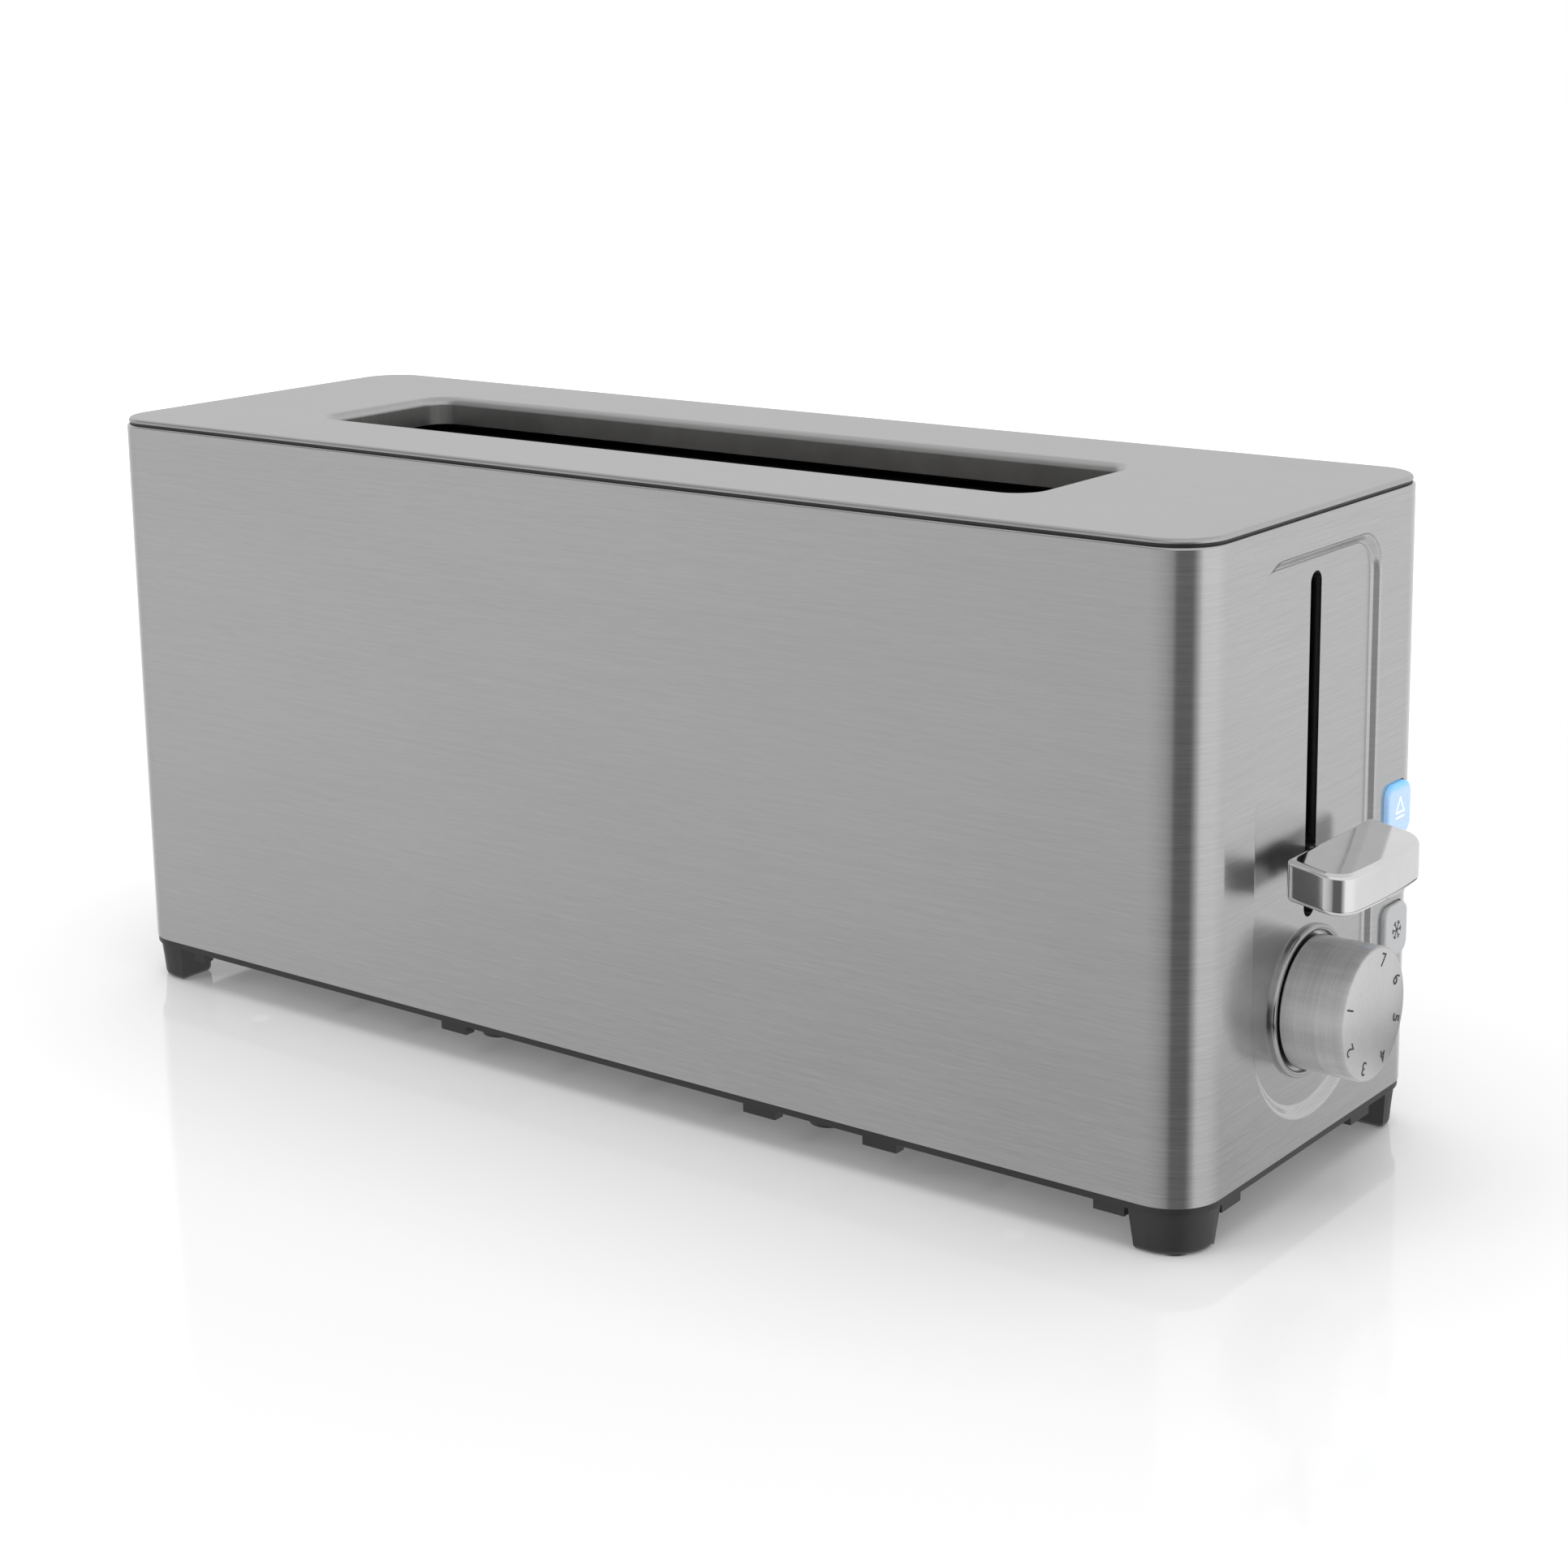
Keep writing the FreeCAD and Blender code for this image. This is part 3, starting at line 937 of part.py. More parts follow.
def make_buttons():
    """Three push buttons, the block that guides them and the switches they press."""
    front = "half_length + button_proud"
    guide_back = f"{front} - button_cap + button_seat + gap"
    stem_start = "pcb_face + switch_depth + plunger_proud + button_travel + gap"
    for index, name in enumerate(BUTTONS):
        y_span, z_span = button_spans("0", button_level(index))
        cap = slab(f"{name}_cap", "X", y_span, z_span, "button_corner", f"{front} - button_cap",
                   "button_cap")
        soften(cap, f"{name}_edge", "button_edge", at_level("X", value_of(front)))
        flange = block(f"{name}_flange", (f"{front} - button_cap - button_flange",
                                          f"{front} - button_cap + button_seat"),
                       (f"{y_span[0]} - 2 * button_seat", f"{y_span[1]} + 2 * button_seat"),
                       (f"{z_span[0]} + button_seat", f"{z_span[1]} - button_seat"))
        stem = bar(f"{name}_stem", "X", "button_stem", (stem_start, "button_y", button_level(index)),
                   f"{front} - button_cap - ({stem_start})")
        part(f"{name}_button", join(f"{name}_solid", [cap, flange, stem]))
    outer_y, (block_low, _) = button_spans("guide_margin")
    _, (_, block_high) = button_spans("guide_margin", button_level(len(BUTTONS) - 1))
    frame = block("guide_block", (guide_back, "inner_face - 2 * steel"), outer_y,
                  (block_low, block_high))
    holes = []
    for index, name in enumerate(BUTTONS):
        y_span, z_span = button_spans("gap", button_level(index))
        holes.append(slab(f"{name}_guide_hole", "X", y_span, z_span, "button_corner + gap",
                          f"{guide_back} - 2", "button_cap + 2"))
    part("button_guide", carve("guide_cut", frame, holes))
    switches = []
    for index, name in enumerate(BUTTONS):
        z = button_level(index)
        switches.append(join(f"{name}_switch", [
            block(f"{name}_switch_case", ("pcb_face", "pcb_face + switch_depth"),
                  ("button_y - switch_size / 2", "button_y + switch_size / 2"),
                  (f"{z} - switch_size / 2", f"{z} + switch_size / 2")),
            bar(f"{name}_plunger", "X", "plunger_radius", ("pcb_face + switch_depth / 2", "button_y", z),
                "switch_depth / 2 + plunger_proud")]))
    part("push_switches", group("switch_set", switches))
    lamps = [bar(f"{name}_lamp", "X", "lamp_radius",
                 ("pcb_face", "button_y - lamp_aside", f"{button_level(index)} + lamp_above"),
                 "lamp_length")
             for index, name in enumerate(BUTTONS)]
    part("indicator_lamps", group("lamp_set", lamps))


# --- Control board ------------------------------------------------------------------------------

SPACERS = (("pcb_left + screw_inset", "pcb_low + screw_inset"),
           ("pcb_right - screw_inset", "pcb_low + screw_inset"),
           ("pcb_right - screw_inset", "pcb_high - screw_inset"),
           ("pcb_column + screw_aside", "pcb_high - screw_inset"))


def make_board():
    """The upright control board, its spacers and screws."""
    board = body("board_body")
    outline = sketch(board, "board_outline", "X", "pcb_x")
    polygon(outline, (("pcb_left", "pcb_low"), ("pcb_right", "pcb_low"), ("pcb_right", "pcb_high"),
                      ("pcb_column", "pcb_high"), ("pcb_column", "pcb_step"),
                      ("pcb_left", "pcb_step")))
    feature(board, "Pad", "board_pad", outline, "pcb_thick")
    holes = [bar(f"board_hole_{i}", "X", "screw_radius + running_fit", ("pcb_x - 1", y, z),
                 "pcb_thick + 2") for i, (y, z) in enumerate(SPACERS)]
    part("control_board", carve("board_cut", board, holes))
    spacers = []
    screws = []
    for i, (y, z) in enumerate(SPACERS):
        post = bar(f"spacer_post_{i}", "X", "spacer_radius", ("plate_face", y, z), "pcb_x - plate_face")
        thread = bar(f"spacer_thread_{i}", "X", "screw_radius", ("pcb_x - thread_depth", y, z),
                     "thread_depth + 1")
        spacers.append(carve(f"spacer_{i}", post, [thread]))
        screws.append(join(f"board_screw_{i}", [
            bar(f"board_screw_shank_{i}", "X", "screw_radius", ("pcb_x - screw_grip", y, z),
                "screw_grip + pcb_thick + screw_head / 2"),
            bar(f"board_screw_head_{i}", "X", "screw_head_radius", ("pcb_face", y, z), "screw_head")]))
    part("board_spacers", group("spacer_set", spacers))
    part("board_screws", group("board_screw_set", screws))


def make_latch():
    """The electromagnet that holds the carriage down."""
    reach = ("magnet_x - coil_radius - bracket_drop", "pcb_x")
    part("magnet_bracket", block("bracket_block", reach,
                                 ("magnet_y - coil_radius", "magnet_y + coil_radius"),
                                 ("core_low - bracket_thick", "core_low")))
    part("magnet_core", bar("core_bar", "Z", "core_radius", ("magnet_x", "magnet_y", "core_low"),
                            "core_top - core_low"))
    flange = "coil_radius + spool_rim"
    spool = join("spool_solid", [
        bar("spool_middle", "Z", "coil_radius", ("magnet_x", "magnet_y", "coil_low"),
            "coil_high - coil_low"),
        bar("spool_low", "Z", flange, ("magnet_x", "magnet_y", "coil_low"), "spool_flange"),
        bar("spool_high", "Z", flange, ("magnet_x", "magnet_y", "coil_high - spool_flange"),
            "spool_flange")])
    bore = bar("spool_bore", "Z", "core_radius", ("magnet_x", "magnet_y", "coil_low - 1"),
               "coil_high - coil_low + 2")
    part("magnet_coil", carve("spool_cut", spool, [bore]))


def make_electrics():
    """Relay, capacitor, mains contacts and the terminal block at the rear."""
    y_span = ("relay_y", "relay_y + relay_width")
    part("power_relay", block("relay_block", ("pcb_x - relay_depth", "pcb_x"), y_span,
                              ("relay_z", "relay_z + relay_height")))
    part("dropper_capacitor", block("capacitor_block", ("pcb_x - capacitor_depth", "pcb_x"), y_span,
                                    ("capacitor_z", "capacitor_z + capacitor_height")))
    contact_top = "slider_low - contact_drop"
    contact_back = "pcb_x - contact_depth"
    part("contact_block", block("contact_base", (contact_back, "pcb_x"),
                                ("contact_y", "contact_y + contact_width"),
                                (f"{contact_top} - contact_height", contact_top)))
    blades = []
    for index in range(2):
        y = f"contact_y + blade_inset + {index} * blade_pitch"
        blades.append(join(f"blade_{index}", [
            block(f"blade_root_{index}", (f"{contact_back} - blade_root", contact_back),
                  (y, f"{y} + blade_width"), ("slider_low - blade_length", "blade_top")),
            block(f"blade_arm_{index}", (f"{contact_back} - blade_reach", contact_back),
                  (y, f"{y} + blade_width"), ("blade_top - blade_steel", "blade_top"))]))
    part("contact_blades", group("blade_pair", blades))
    part("terminal_block", block("terminal_body", ("rear_plate_x - terminal_depth", "rear_plate_x"),
                                 ("terminal_y", "terminal_y + terminal_width"),
                                 ("terminal_z", "terminal_z + terminal_height")))


def make_inlet():
    """The cord gland in the rear end and the nut that holds it."""
    start = ("0 - half_length - handle_proud", "gland_y", "gland_z")
    neck = bar("gland_neck", "X", "gland_radius", start, "gland_length")
    flange = bar("gland_flange_disc", "X", "gland_flange", start, "handle_proud")
    bore = bar("gland_bore", "X", "cord_bore",
               ("0 - half_length - handle_proud - 1", "gland_y", "gland_z"), "gland_length + 2")
    part("cord_gland", carve("gland_cut", join("gland_solid", [neck, flange]), [bore]))
    inside = ("steel - half_length", "gland_y", "gland_z")
    ring_out = bar("nut_outside", "X", "gland_flange", inside, "gland_nut")
    ring_in = bar("nut_bore", "X", "gland_radius", ("steel - half_length - 1", "gland_y", "gland_z"),
                  "gland_nut + 2")
    part("gland_nut", carve("nut_cut", ring_out, [ring_in]))


def make_base_screws():
    """Four screws up through the base into the end plates' flanges."""
    screws = []
    for place, end in SCREW_PLACES:
        for sign, side in SIGNS:
            y = f"{sign} * (plate_width / 2 - leg_width / 2)"
            screws.append(join(f"base_screw_{end}_{side}", [
                bar(f"base_shank_{end}_{side}", "Z", "screw_radius",
                    (place, y, "foot_height - screw_head / 2"),
                    "screw_head / 2 + band_height + plate_steel + base_screw_grip"),
                bar(f"base_head_{end}_{side}", "Z", "screw_head_radius",
                    (place, y, "foot_height - screw_head"), "screw_head")]))
    part("base_screws", group("base_screw_set", screws))


STEPS = (make_sleeve, make_slot_shield, make_lid, make_lid_frames, make_base, make_feet, make_tray,
         make_plates, make_heaters, make_guides, make_rack, make_carriage, make_lever_knob, make_spring,
         make_dial, make_buttons, make_board, make_latch, make_electrics, make_inlet,
         make_base_screws)
for step in STEPS:
    step()
doc.recompute()

for made in doc.Objects:
    if "Invalid" in made.State or "Error" in made.State:
        raise RuntimeError(f"{made.Name} ({made.Label}) did not compute: {made.State}")
for made in PARTS:
    if made.Shape.isNull() or not made.Shape.isValid() or not made.Shape.Solids:
        raise RuntimeError(f"{made.Label} has no valid solid")

os.makedirs("parts", exist_ok=True)
for made in PARTS:
    made.Shape.exportStep(f"parts/{made.Label}.step")
print(len(PARTS), "parts")
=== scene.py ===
"""Looks of a long-slot toaster in brushed steel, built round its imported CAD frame.

Lengths are in millimetres and turned to metres when a mesh is finished. Patterns are in metres.
+X points out of the end with the lever and the dial, +Y towards the push buttons, +Z up.
"""

import json
import logging
import math
from dataclasses import dataclass
from enum import Enum
from typing import Callable, Iterable, Mapping, Optional, Sequence, Union

import bmesh
import bpy
from mathutils import Matrix, Vector

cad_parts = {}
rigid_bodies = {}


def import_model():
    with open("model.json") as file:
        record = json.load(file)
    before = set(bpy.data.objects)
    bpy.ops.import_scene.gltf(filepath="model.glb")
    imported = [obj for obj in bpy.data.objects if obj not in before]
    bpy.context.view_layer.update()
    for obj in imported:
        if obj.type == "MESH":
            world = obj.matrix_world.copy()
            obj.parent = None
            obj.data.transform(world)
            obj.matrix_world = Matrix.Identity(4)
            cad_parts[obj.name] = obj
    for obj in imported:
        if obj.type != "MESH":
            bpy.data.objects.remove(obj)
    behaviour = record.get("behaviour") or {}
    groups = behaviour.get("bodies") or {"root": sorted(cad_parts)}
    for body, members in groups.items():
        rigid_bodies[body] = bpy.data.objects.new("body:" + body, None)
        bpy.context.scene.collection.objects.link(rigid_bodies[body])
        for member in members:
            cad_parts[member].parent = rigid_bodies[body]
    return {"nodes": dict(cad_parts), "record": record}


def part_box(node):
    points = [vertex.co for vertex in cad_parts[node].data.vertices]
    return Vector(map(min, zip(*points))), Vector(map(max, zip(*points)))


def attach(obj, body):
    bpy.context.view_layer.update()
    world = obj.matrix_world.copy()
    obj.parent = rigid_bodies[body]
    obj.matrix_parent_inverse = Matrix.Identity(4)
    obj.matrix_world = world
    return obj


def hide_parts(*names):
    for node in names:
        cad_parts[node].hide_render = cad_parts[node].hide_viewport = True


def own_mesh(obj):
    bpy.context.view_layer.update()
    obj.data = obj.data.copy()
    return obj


for leftover in list(bpy.data.objects):
    bpy.data.objects.remove(leftover)
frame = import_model()

log = logging.getLogger("toaster")
METRE = 0.001
NEAR = 0.05  # places this close count as one
Colour = tuple[float, float, float]
Point = tuple[float, float, float]
Span = tuple[float, float]
EdgeTest = Callable[[bmesh.types.BMEdge], bool]


@dataclass(frozen=True)
class Room:
    """The space that a CAD node takes up at rest, in millimetres."""

    low: Vector
    high: Vector

    @classmethod
    def of(cls, node: str) -> "Room":
        """The named node's room."""
        return cls(*(Vector(corner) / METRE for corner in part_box(node)))

    @property
    def middle(self) -> Vector:
        """Its middle."""
        return (self.low + self.high) / 2

    @property
    def size(self) -> Vector:
        """Its size along each axis."""
        return self.high - self.low


# --- Shader maths -------------------------------------------------------------------------------

class Wire:
    """One output of a node. Arithmetic on it adds Math nodes to its tree."""

    def __init__(self, bench: "Bench", socket: bpy.types.NodeSocket) -> None:
        """Keep the socket and the bench that adds nodes beside it."""
        self.bench = bench
        self.socket = socket

    def _maths(self, operation: str, *terms: "Value") -> "Wire":
        """Add one Math node.

        Args:
            operation: The Math node's operation.
            terms: Its inputs, in order.

        Returns:
            The node's result.
        """
        return self.bench.node("ShaderNodeMath", {"operation": operation}, dict(enumerate(terms)))

    def __add__(self, other: "Value") -> "Wire":
        """The sum."""
        return self._maths("ADD", self, other)

    def __rsub__(self, other: "Value") -> "Wire":
        """The difference, from the other value."""
        return self._maths("SUBTRACT", other, self)

    def __mul__(self, other: "Value") -> "Wire":
        """The product."""
        return self._maths("MULTIPLY", self, other)

    def __truediv__(self, other: "Value") -> "Wire":
        """The quotient."""
        return self._maths("DIVIDE", self, other)

    def __pow__(self, other: "Value") -> "Wire":
        """The power."""
        return self._maths("POWER", self, other)

    __radd__ = __add__
    __rmul__ = __mul__

    def angle_from(self, other: "Wire") -> "Wire":
        """The angle whose sine is this value's and whose cosine is the other's."""
        return self._maths("ARCTAN2", self, other)

    def ramp(self, low: float, high: float) -> "Wire":
        """A smooth step from 0 to 1.

        Args:
            low: The value at which the step starts.
            high: The value at which it ends.

        Returns:
            The stepped value.
        """
        settings = {"interpolation_type": "SMOOTHSTEP"}
        return self.bench.node("ShaderNodeMapRange", settings, {0: self, 1: low, 2: high})


Value = Union[Wire, float]


class Bench:
    """A node tree, with one method that adds any node and a few that use it."""

    def __init__(self, tree: bpy.types.NodeTree) -> None:
        """Clear the tree's nodes."""
        self.tree = tree
        tree.nodes.clear()

    def node(self, kind: str, settings: Optional[Mapping[str, object]] = None,
             sockets: Optional[Mapping[Union[int, str], object]] = None,
             output: Union[int, str] = 0) -> Wire:
        """Add a node.

        Args:
            kind: The node's type.
            settings: Its own settings; "stops" are a colour ramp's (place, colour) pairs.
            sockets: A value or a link for each input, by name or place.
            output: The output to hand back.

        Returns:
            That output.
        """
        made = self.tree.nodes.new(kind)
        for name, value in (settings or {}).items():
            if name == "stops":
                self._stops(made.color_ramp, value)
            else:
                setattr(made, name, value)
        for key, value in (sockets or {}).items():
            if isinstance(value, Wire):
                self.tree.links.new(value.socket, made.inputs[key])
            else:
                made.inputs[key].default_value = value
        return Wire(self, made.outputs[output])

    def close(self, kind: str, surface: Wire) -> None:
        """Link the finished surface to the tree's output node, of the given type."""
        output = self.tree.nodes.new(kind)
        self.tree.links.new(surface.socket, output.inputs["Surface"])

    @staticmethod
    def _stops(ramp: bpy.types.ColorRamp, stops: Sequence[tuple[float, Colour]]) -> None:
        """Set a colour ramp's stops.

        Args:
            ramp: The ramp.
            stops: Each stop's place and colour.
        """
        while len(ramp.elements) < len(stops):
            ramp.elements.new(0.5)
        for element, (place, colour) in zip(ramp.elements, stops):
            element.position = place
            element.color = (*colour, 1.0)

    def place(self, stretch: Point = (1, 1, 1), centre: Point = (0, 0, 0)) -> Wire:
        """Object coordinates, moved to a centre and stretched.

        Args:
            stretch: The scale along each axis.
            centre: The point that becomes the origin, in metres.

        Returns:
            The coordinates.
        """
        here = self.node("ShaderNodeTexCoord", output="Object")
        shift = [-c * s for c, s in zip(centre, stretch)]
        return self.node("ShaderNodeMapping", {}, {"Vector": here, "Location": shift, "Scale": stretch})

    def split(self, where: Wire) -> tuple[Wire, Wire, Wire]:
        """The three coordinates of a place or a direction."""
        first = self.node("ShaderNodeSeparateXYZ", {}, {0: where})
        return tuple(Wire(self, output) for output in first.socket.node.outputs)

    def noise(self, where: Wire, scale: float = 1.0, detail: float = 3.0, rough: float = 0.5) -> Wire:
        """Noise from 0 to 1.

        Args:
            where: The coordinates.
            scale: Features per unit.
            detail: Octaves.
            rough: The share of the finer octaves.

        Returns:
            The noise.
        """
        return self.node("ShaderNodeTexNoise", {}, {"Vector": where, "Scale": scale, "Detail": detail,
                                                    "Roughness": rough})

    def blend(self, share: Value, first: Union[Wire, Colour], second: Union[Wire, Colour]) -> Wire:
        """A colour between two.

        Args:
            share: How much of the second colour.
            first: The colour at 0.
            second: The colour at 1.

        Returns:
            The mixed colour.
        """
        colours = [c if isinstance(c, Wire) else (*c, 1.0) for c in (first, second)]
        return self.node("ShaderNodeMix", {"data_type": "RGBA"},
                         {0: share, 6: colours[0], 7: colours[1]}, 2)

    def bump(self, height: Wire, depth: float, strength: float = 1.0) -> Wire:
        """A normal from a height.

        Args:
            height: The height, from 0 to 1.
            depth: What a height of 1 stands for, in metres.
            strength: How strongly it shows.

        Returns:
            The normal.
        """
        return self.node("ShaderNodeBump", {}, {"Height": height, "Distance": depth, "Strength": strength})


# --- Finishes -----------------------------------------------------------------------------------

def shade(colour: Colour, factor: float) -> Colour:
    """A colour made lighter or darker by one factor."""
    return tuple(min(1.0, c * factor) for c in colour)


@dataclass(frozen=True)
class Finish:
    """A surface: its record slot and what its shader holds all over."""

    slot: str
    colour: Colour
    roughness: float = 0.4
    metallic: float = 0.0
    label: str = ""

    def fixed(self) -> dict[str, object]:
        """Sockets whose value is the same all over the surface."""
        return {"Metallic": self.metallic}

    def paint(self, bench: Bench) -> dict[str, Wire]:
        """What changes over the surface, by socket name."""
        raise NotImplementedError

    def toned(self, bench: Bench, mark: Wire, contrast: float) -> Wire:
        """The finish's colour, darker where a mark is low.

        Args:
            bench: The bench.
            mark: The mark, from 0 to 1.
            contrast: How much darker and lighter it gets.

        Returns:
            The colour.
        """
        return bench.blend(mark, shade(self.colour, 1 - contrast), shade(self.colour, 1 + contrast))

    def uneven(self, mark: Wire, swing: float) -> Wire:
        """The finish's roughness, swinging about its own value as a mark goes from 0 to 1."""
        return mark * swing + (self.roughness - swing / 2)

    def material(self) -> bpy.types.Material:
        """Make the material, or find it if it is made.

        Returns:
            The material.
        """
        name = (self.label or self.slot) + "_finish"
        found = bpy.data.materials.get(name)
        if found:
            return found
        made = bpy.data.materials.new(name)
        made.use_nodes = True
        made.diffuse_color = (*self.colour, 1.0)
        bench = Bench(made.node_tree)
        sockets: dict[Union[int, str], object] = dict(self.fixed())
        sockets.update(self.paint(bench))
        skin = bench.node("ShaderNodeBsdfPrincipled", {}, sockets)
        bench.close("ShaderNodeOutputMaterial", skin)
        return made


class Grain(Enum):
    """Which way the scratches of brushed sheet run."""

    ROUND = (95.0, 95.0, 4200.0)
    ALONG = (80.0, 4200.0, 80.0)
    FACE = (500.0, 900.0, 900.0)


@dataclass(frozen=True)
class BrushedSheet(Finish):
    """Stainless sheet with fine straight scratches."""

    grain: Grain = Grain.ROUND
    wide_share: float = 0.22
    cloud: Point = (9.0, 9.0, 30.0)
    contrast: float = 0.07
    spread: float = 0.75
    depth: float = 0.000004
    turn: float = 0.25

    def fixed(self) -> dict[str, object]:
        """Metal that spreads highlights across its scratches."""
        return {"Metallic": 1.0, "Anisotropic": self.spread, "Anisotropic Rotation": self.turn}

    def paint(self, bench: Bench) -> dict[str, Wire]:
        """Scratches of two widths, and slow clouds in the sheet."""
        fine = bench.noise(bench.place(self.grain.value), 1.0, 4.0, 0.7)
        wide = bench.noise(bench.place(tuple(g * self.wide_share for g in self.grain.value)), 1.0, 2.0)
        cloud = bench.noise(bench.place(self.cloud), 1.0, 2.0)
        mark = fine * 0.6 + wide * 0.2 + cloud * 0.2
        return {"Base Color": self.toned(bench, mark.ramp(0.3, 0.7), self.contrast),
                "Roughness": self.uneven(mark, 0.12),
                "Normal": bench.bump(fine, self.depth)}


@dataclass(frozen=True)
class TurnedMetal(Finish):
    """Metal turned on a lathe about an axis along X."""

    centre: Point = (0.0, 0.0, 0.0)
    rings: float = 2200.0
    wander: float = 40.0
    streaks: Point = (22.0, 190.0, 190.0)
    depth: float = 0.0000008
    contrast: float = 0.10

    def paint(self, bench: Bench) -> dict[str, Wire]:
        """Fine rings that wander a little round the axis, with a few wider bands."""
        along, across, up = bench.split(bench.place(centre=self.centre))
        radius = (across * across + up * up) ** 0.5
        rounds = bench.node("ShaderNodeCombineXYZ", {}, {0: along * self.rings, 1: radius * self.rings,
                                                         2: (across + up) * self.wander})
        fine = bench.noise(rounds, 1.0, 3.0, 0.7)
        wide = bench.noise(rounds, 0.3, 2.0)
        streak = bench.noise(bench.place(self.streaks, self.centre), 1.0, 3.0, 0.65)
        mark = fine * 0.35 + wide * 0.15 + streak * 0.5
        return {"Base Color": self.toned(bench, mark.ramp(0.35, 0.65), self.contrast),
                "Roughness": self.uneven(mark, 0.14),
                "Normal": bench.bump(fine, self.depth)}


@dataclass(frozen=True)
class PlainMetal(Finish):
    """Metal without a grain: plated, rolled, drawn or sintered."""

    metallic: float = 1.0
    mottle: float = 0.08
    size: float = 220.0
    patch_share: float = 0.18
    depth: float = 0.000008
    tarnish: Colour = (0.30, 0.27, 0.24)
    worn: float = 0.15

    def paint(self, bench: Bench) -> dict[str, Wire]:
        """Mottling, a thin film of tarnish in patches and a slight unevenness."""
        spots = bench.noise(bench.place(), self.size, 4.0, 0.6)
        patches = bench.noise(bench.place(), self.size * self.patch_share, 3.0)
        film = patches.ramp(0.5, 0.75) * self.worn
        clean = self.toned(bench, spots.ramp(0.3, 0.7), self.mottle)
        return {"Base Color": bench.blend(film, clean, self.tarnish),
                "Roughness": self.uneven(spots, 0.1) + film * 0.3,
                "Normal": bench.bump(spots, self.depth)}


@dataclass(frozen=True)
class Moulded(Finish):
    """Moulded plastic, rubber or pressed board, with a fine grain."""

    size: float = 2600.0
    flow_size: float = 38.0
    depth: float = 0.00003
    mottle: float = 0.12
    coat: float = 0.0
    coat_roughness: float = 0.12

    def fixed(self) -> dict[str, object]:
        """A plastic with an even clear skin."""
        return {"Metallic": 0.0, "Coat Weight": self.coat, "Coat Roughness": self.coat_roughness}

    def paint(self, bench: Bench) -> dict[str, Wire]:
        """Spark-eroded grain, and slow flow marks in colour and gloss."""
        grain = bench.noise(bench.place(), self.size, 2.0, 0.6)
        flow = bench.noise(bench.place((1.0, 1.0, 2.5)), self.flow_size, 3.0)
        return {"Base Color": self.toned(bench, flow.ramp(0.3, 0.7), self.mottle),
                "Roughness": self.uneven(flow * 0.67 + grain * 0.33, 0.18),
                "Normal": bench.bump(grain, self.depth)}


@dataclass(frozen=True)
class LitPlastic(Finish):
    """Translucent plastic with a lamp behind it."""

    edge: Colour = (0.22, 0.58, 1.0)
    strength: float = 0.28
    centre: Point = (0.0, 0.0, 0.0)
    reach: float = 0.0065

    def fixed(self) -> dict[str, object]:
        """The lamp's strength."""
        return {"Metallic": 0.0, "Emission Strength": self.strength}

    def paint(self, bench: Bench) -> dict[str, Wire]:
        """Pale in the middle, and a saturated rim that is strongest at the top."""
        _, across, up = bench.split(bench.place(centre=self.centre))
        top = (up / (self.reach * 1.15)).ramp(0.55, 1.05)
        rim = top + ((across * across) / self.reach ** 2).ramp(0.6, 1.2) * 0.5
        speckle = bench.noise(bench.place(), 1500.0, 2.0)
        milk = bench.blend(speckle.ramp(0.3, 0.7), shade(self.colour, 0.92), self.colour)
        glow = bench.blend(rim.ramp(0.0, 1.0), milk, self.edge)
        return {"Base Color": glow, "Emission Color": glow,
                "Roughness": self.uneven(speckle, 0.1),
                "Normal": bench.bump(speckle, 0.00001)}


@dataclass(frozen=True)
class Flecked(Finish):
    """Pressed mica: pale flakes in a darker sheet."""

    def paint(self, bench: Bench) -> dict[str, Wire]:
        """Flakes, and scorch marks in slow patches."""
        flakes = bench.node("ShaderNodeTexVoronoi", {}, {"Vector": bench.place(), "Scale": 420.0})
        scorch = bench.noise(bench.place(), 26.0, 4.0)
        base = bench.blend(flakes.ramp(0.05, 0.6), shade(self.colour, 1.35), shade(self.colour, 0.7))
        return {"Base Color": bench.blend(scorch.ramp(0.45, 0.8), base, shade(self.colour, 0.35)),
                "Roughness": flakes * 0.3 + 0.35, "Normal": bench.bump(flakes, 0.00008)}


@dataclass(frozen=True)
class Tracked(Finish):
    """A circuit board: copper tracks under green lacquer."""

    def paint(self, bench: Bench) -> dict[str, Wire]:
        """Straight tracks each way, kept to islands, with a raised edge."""
        where = bench.place((0.0, 1.0, 1.0))
        across = bench.node("ShaderNodeTexBrick", {"offset": 0.5},
                            {"Vector": bench.node("ShaderNodeMapping", {}, {"Vector": where, "Rotation":
                                                  (0.0, math.pi / 2, 0.0)}),
                             "Scale": 120.0, "Mortar Size": 0.05, "Color1": (0, 0, 0, 1),
                             "Color2": (0.2, 0.2, 0.2, 1), "Mortar": (1, 1, 1, 1)})
        island = bench.noise(where, 60.0, 1.0).ramp(0.45, 0.5)
        track = across * island
        return {"Base Color": bench.blend(track, self.colour, (0.12, 0.34, 0.15)),
                "Roughness": track * 0.1 + self.roughness, "Normal": bench.bump(track, 0.00005)}


@dataclass(frozen=True)
class Wound(Finish):
    """Enamelled wire wound about an upright axis."""

    pitch: float = 0.0005

    def paint(self, bench: Bench) -> dict[str, Wire]:
        """Round turns, one above another, with painted shade between them and a painted highlight on each."""
        turns = bench.node("ShaderNodeTexWave", {"bands_direction": "Z", "wave_profile": "SIN"},
                           {"Vector": bench.place(), "Scale": 0.314 / self.pitch, "Distortion": 0.6})
        # the colour darkens in the grooves between turns and lightens on their crowns: painted shade and
        # painted highlight
        return {"Base Color": bench.blend(turns, shade(self.colour, 0.45), shade(self.colour, 1.2)),
                "Roughness": turns * 0.1 + self.roughness, "Normal": bench.bump(turns, 0.0002)}


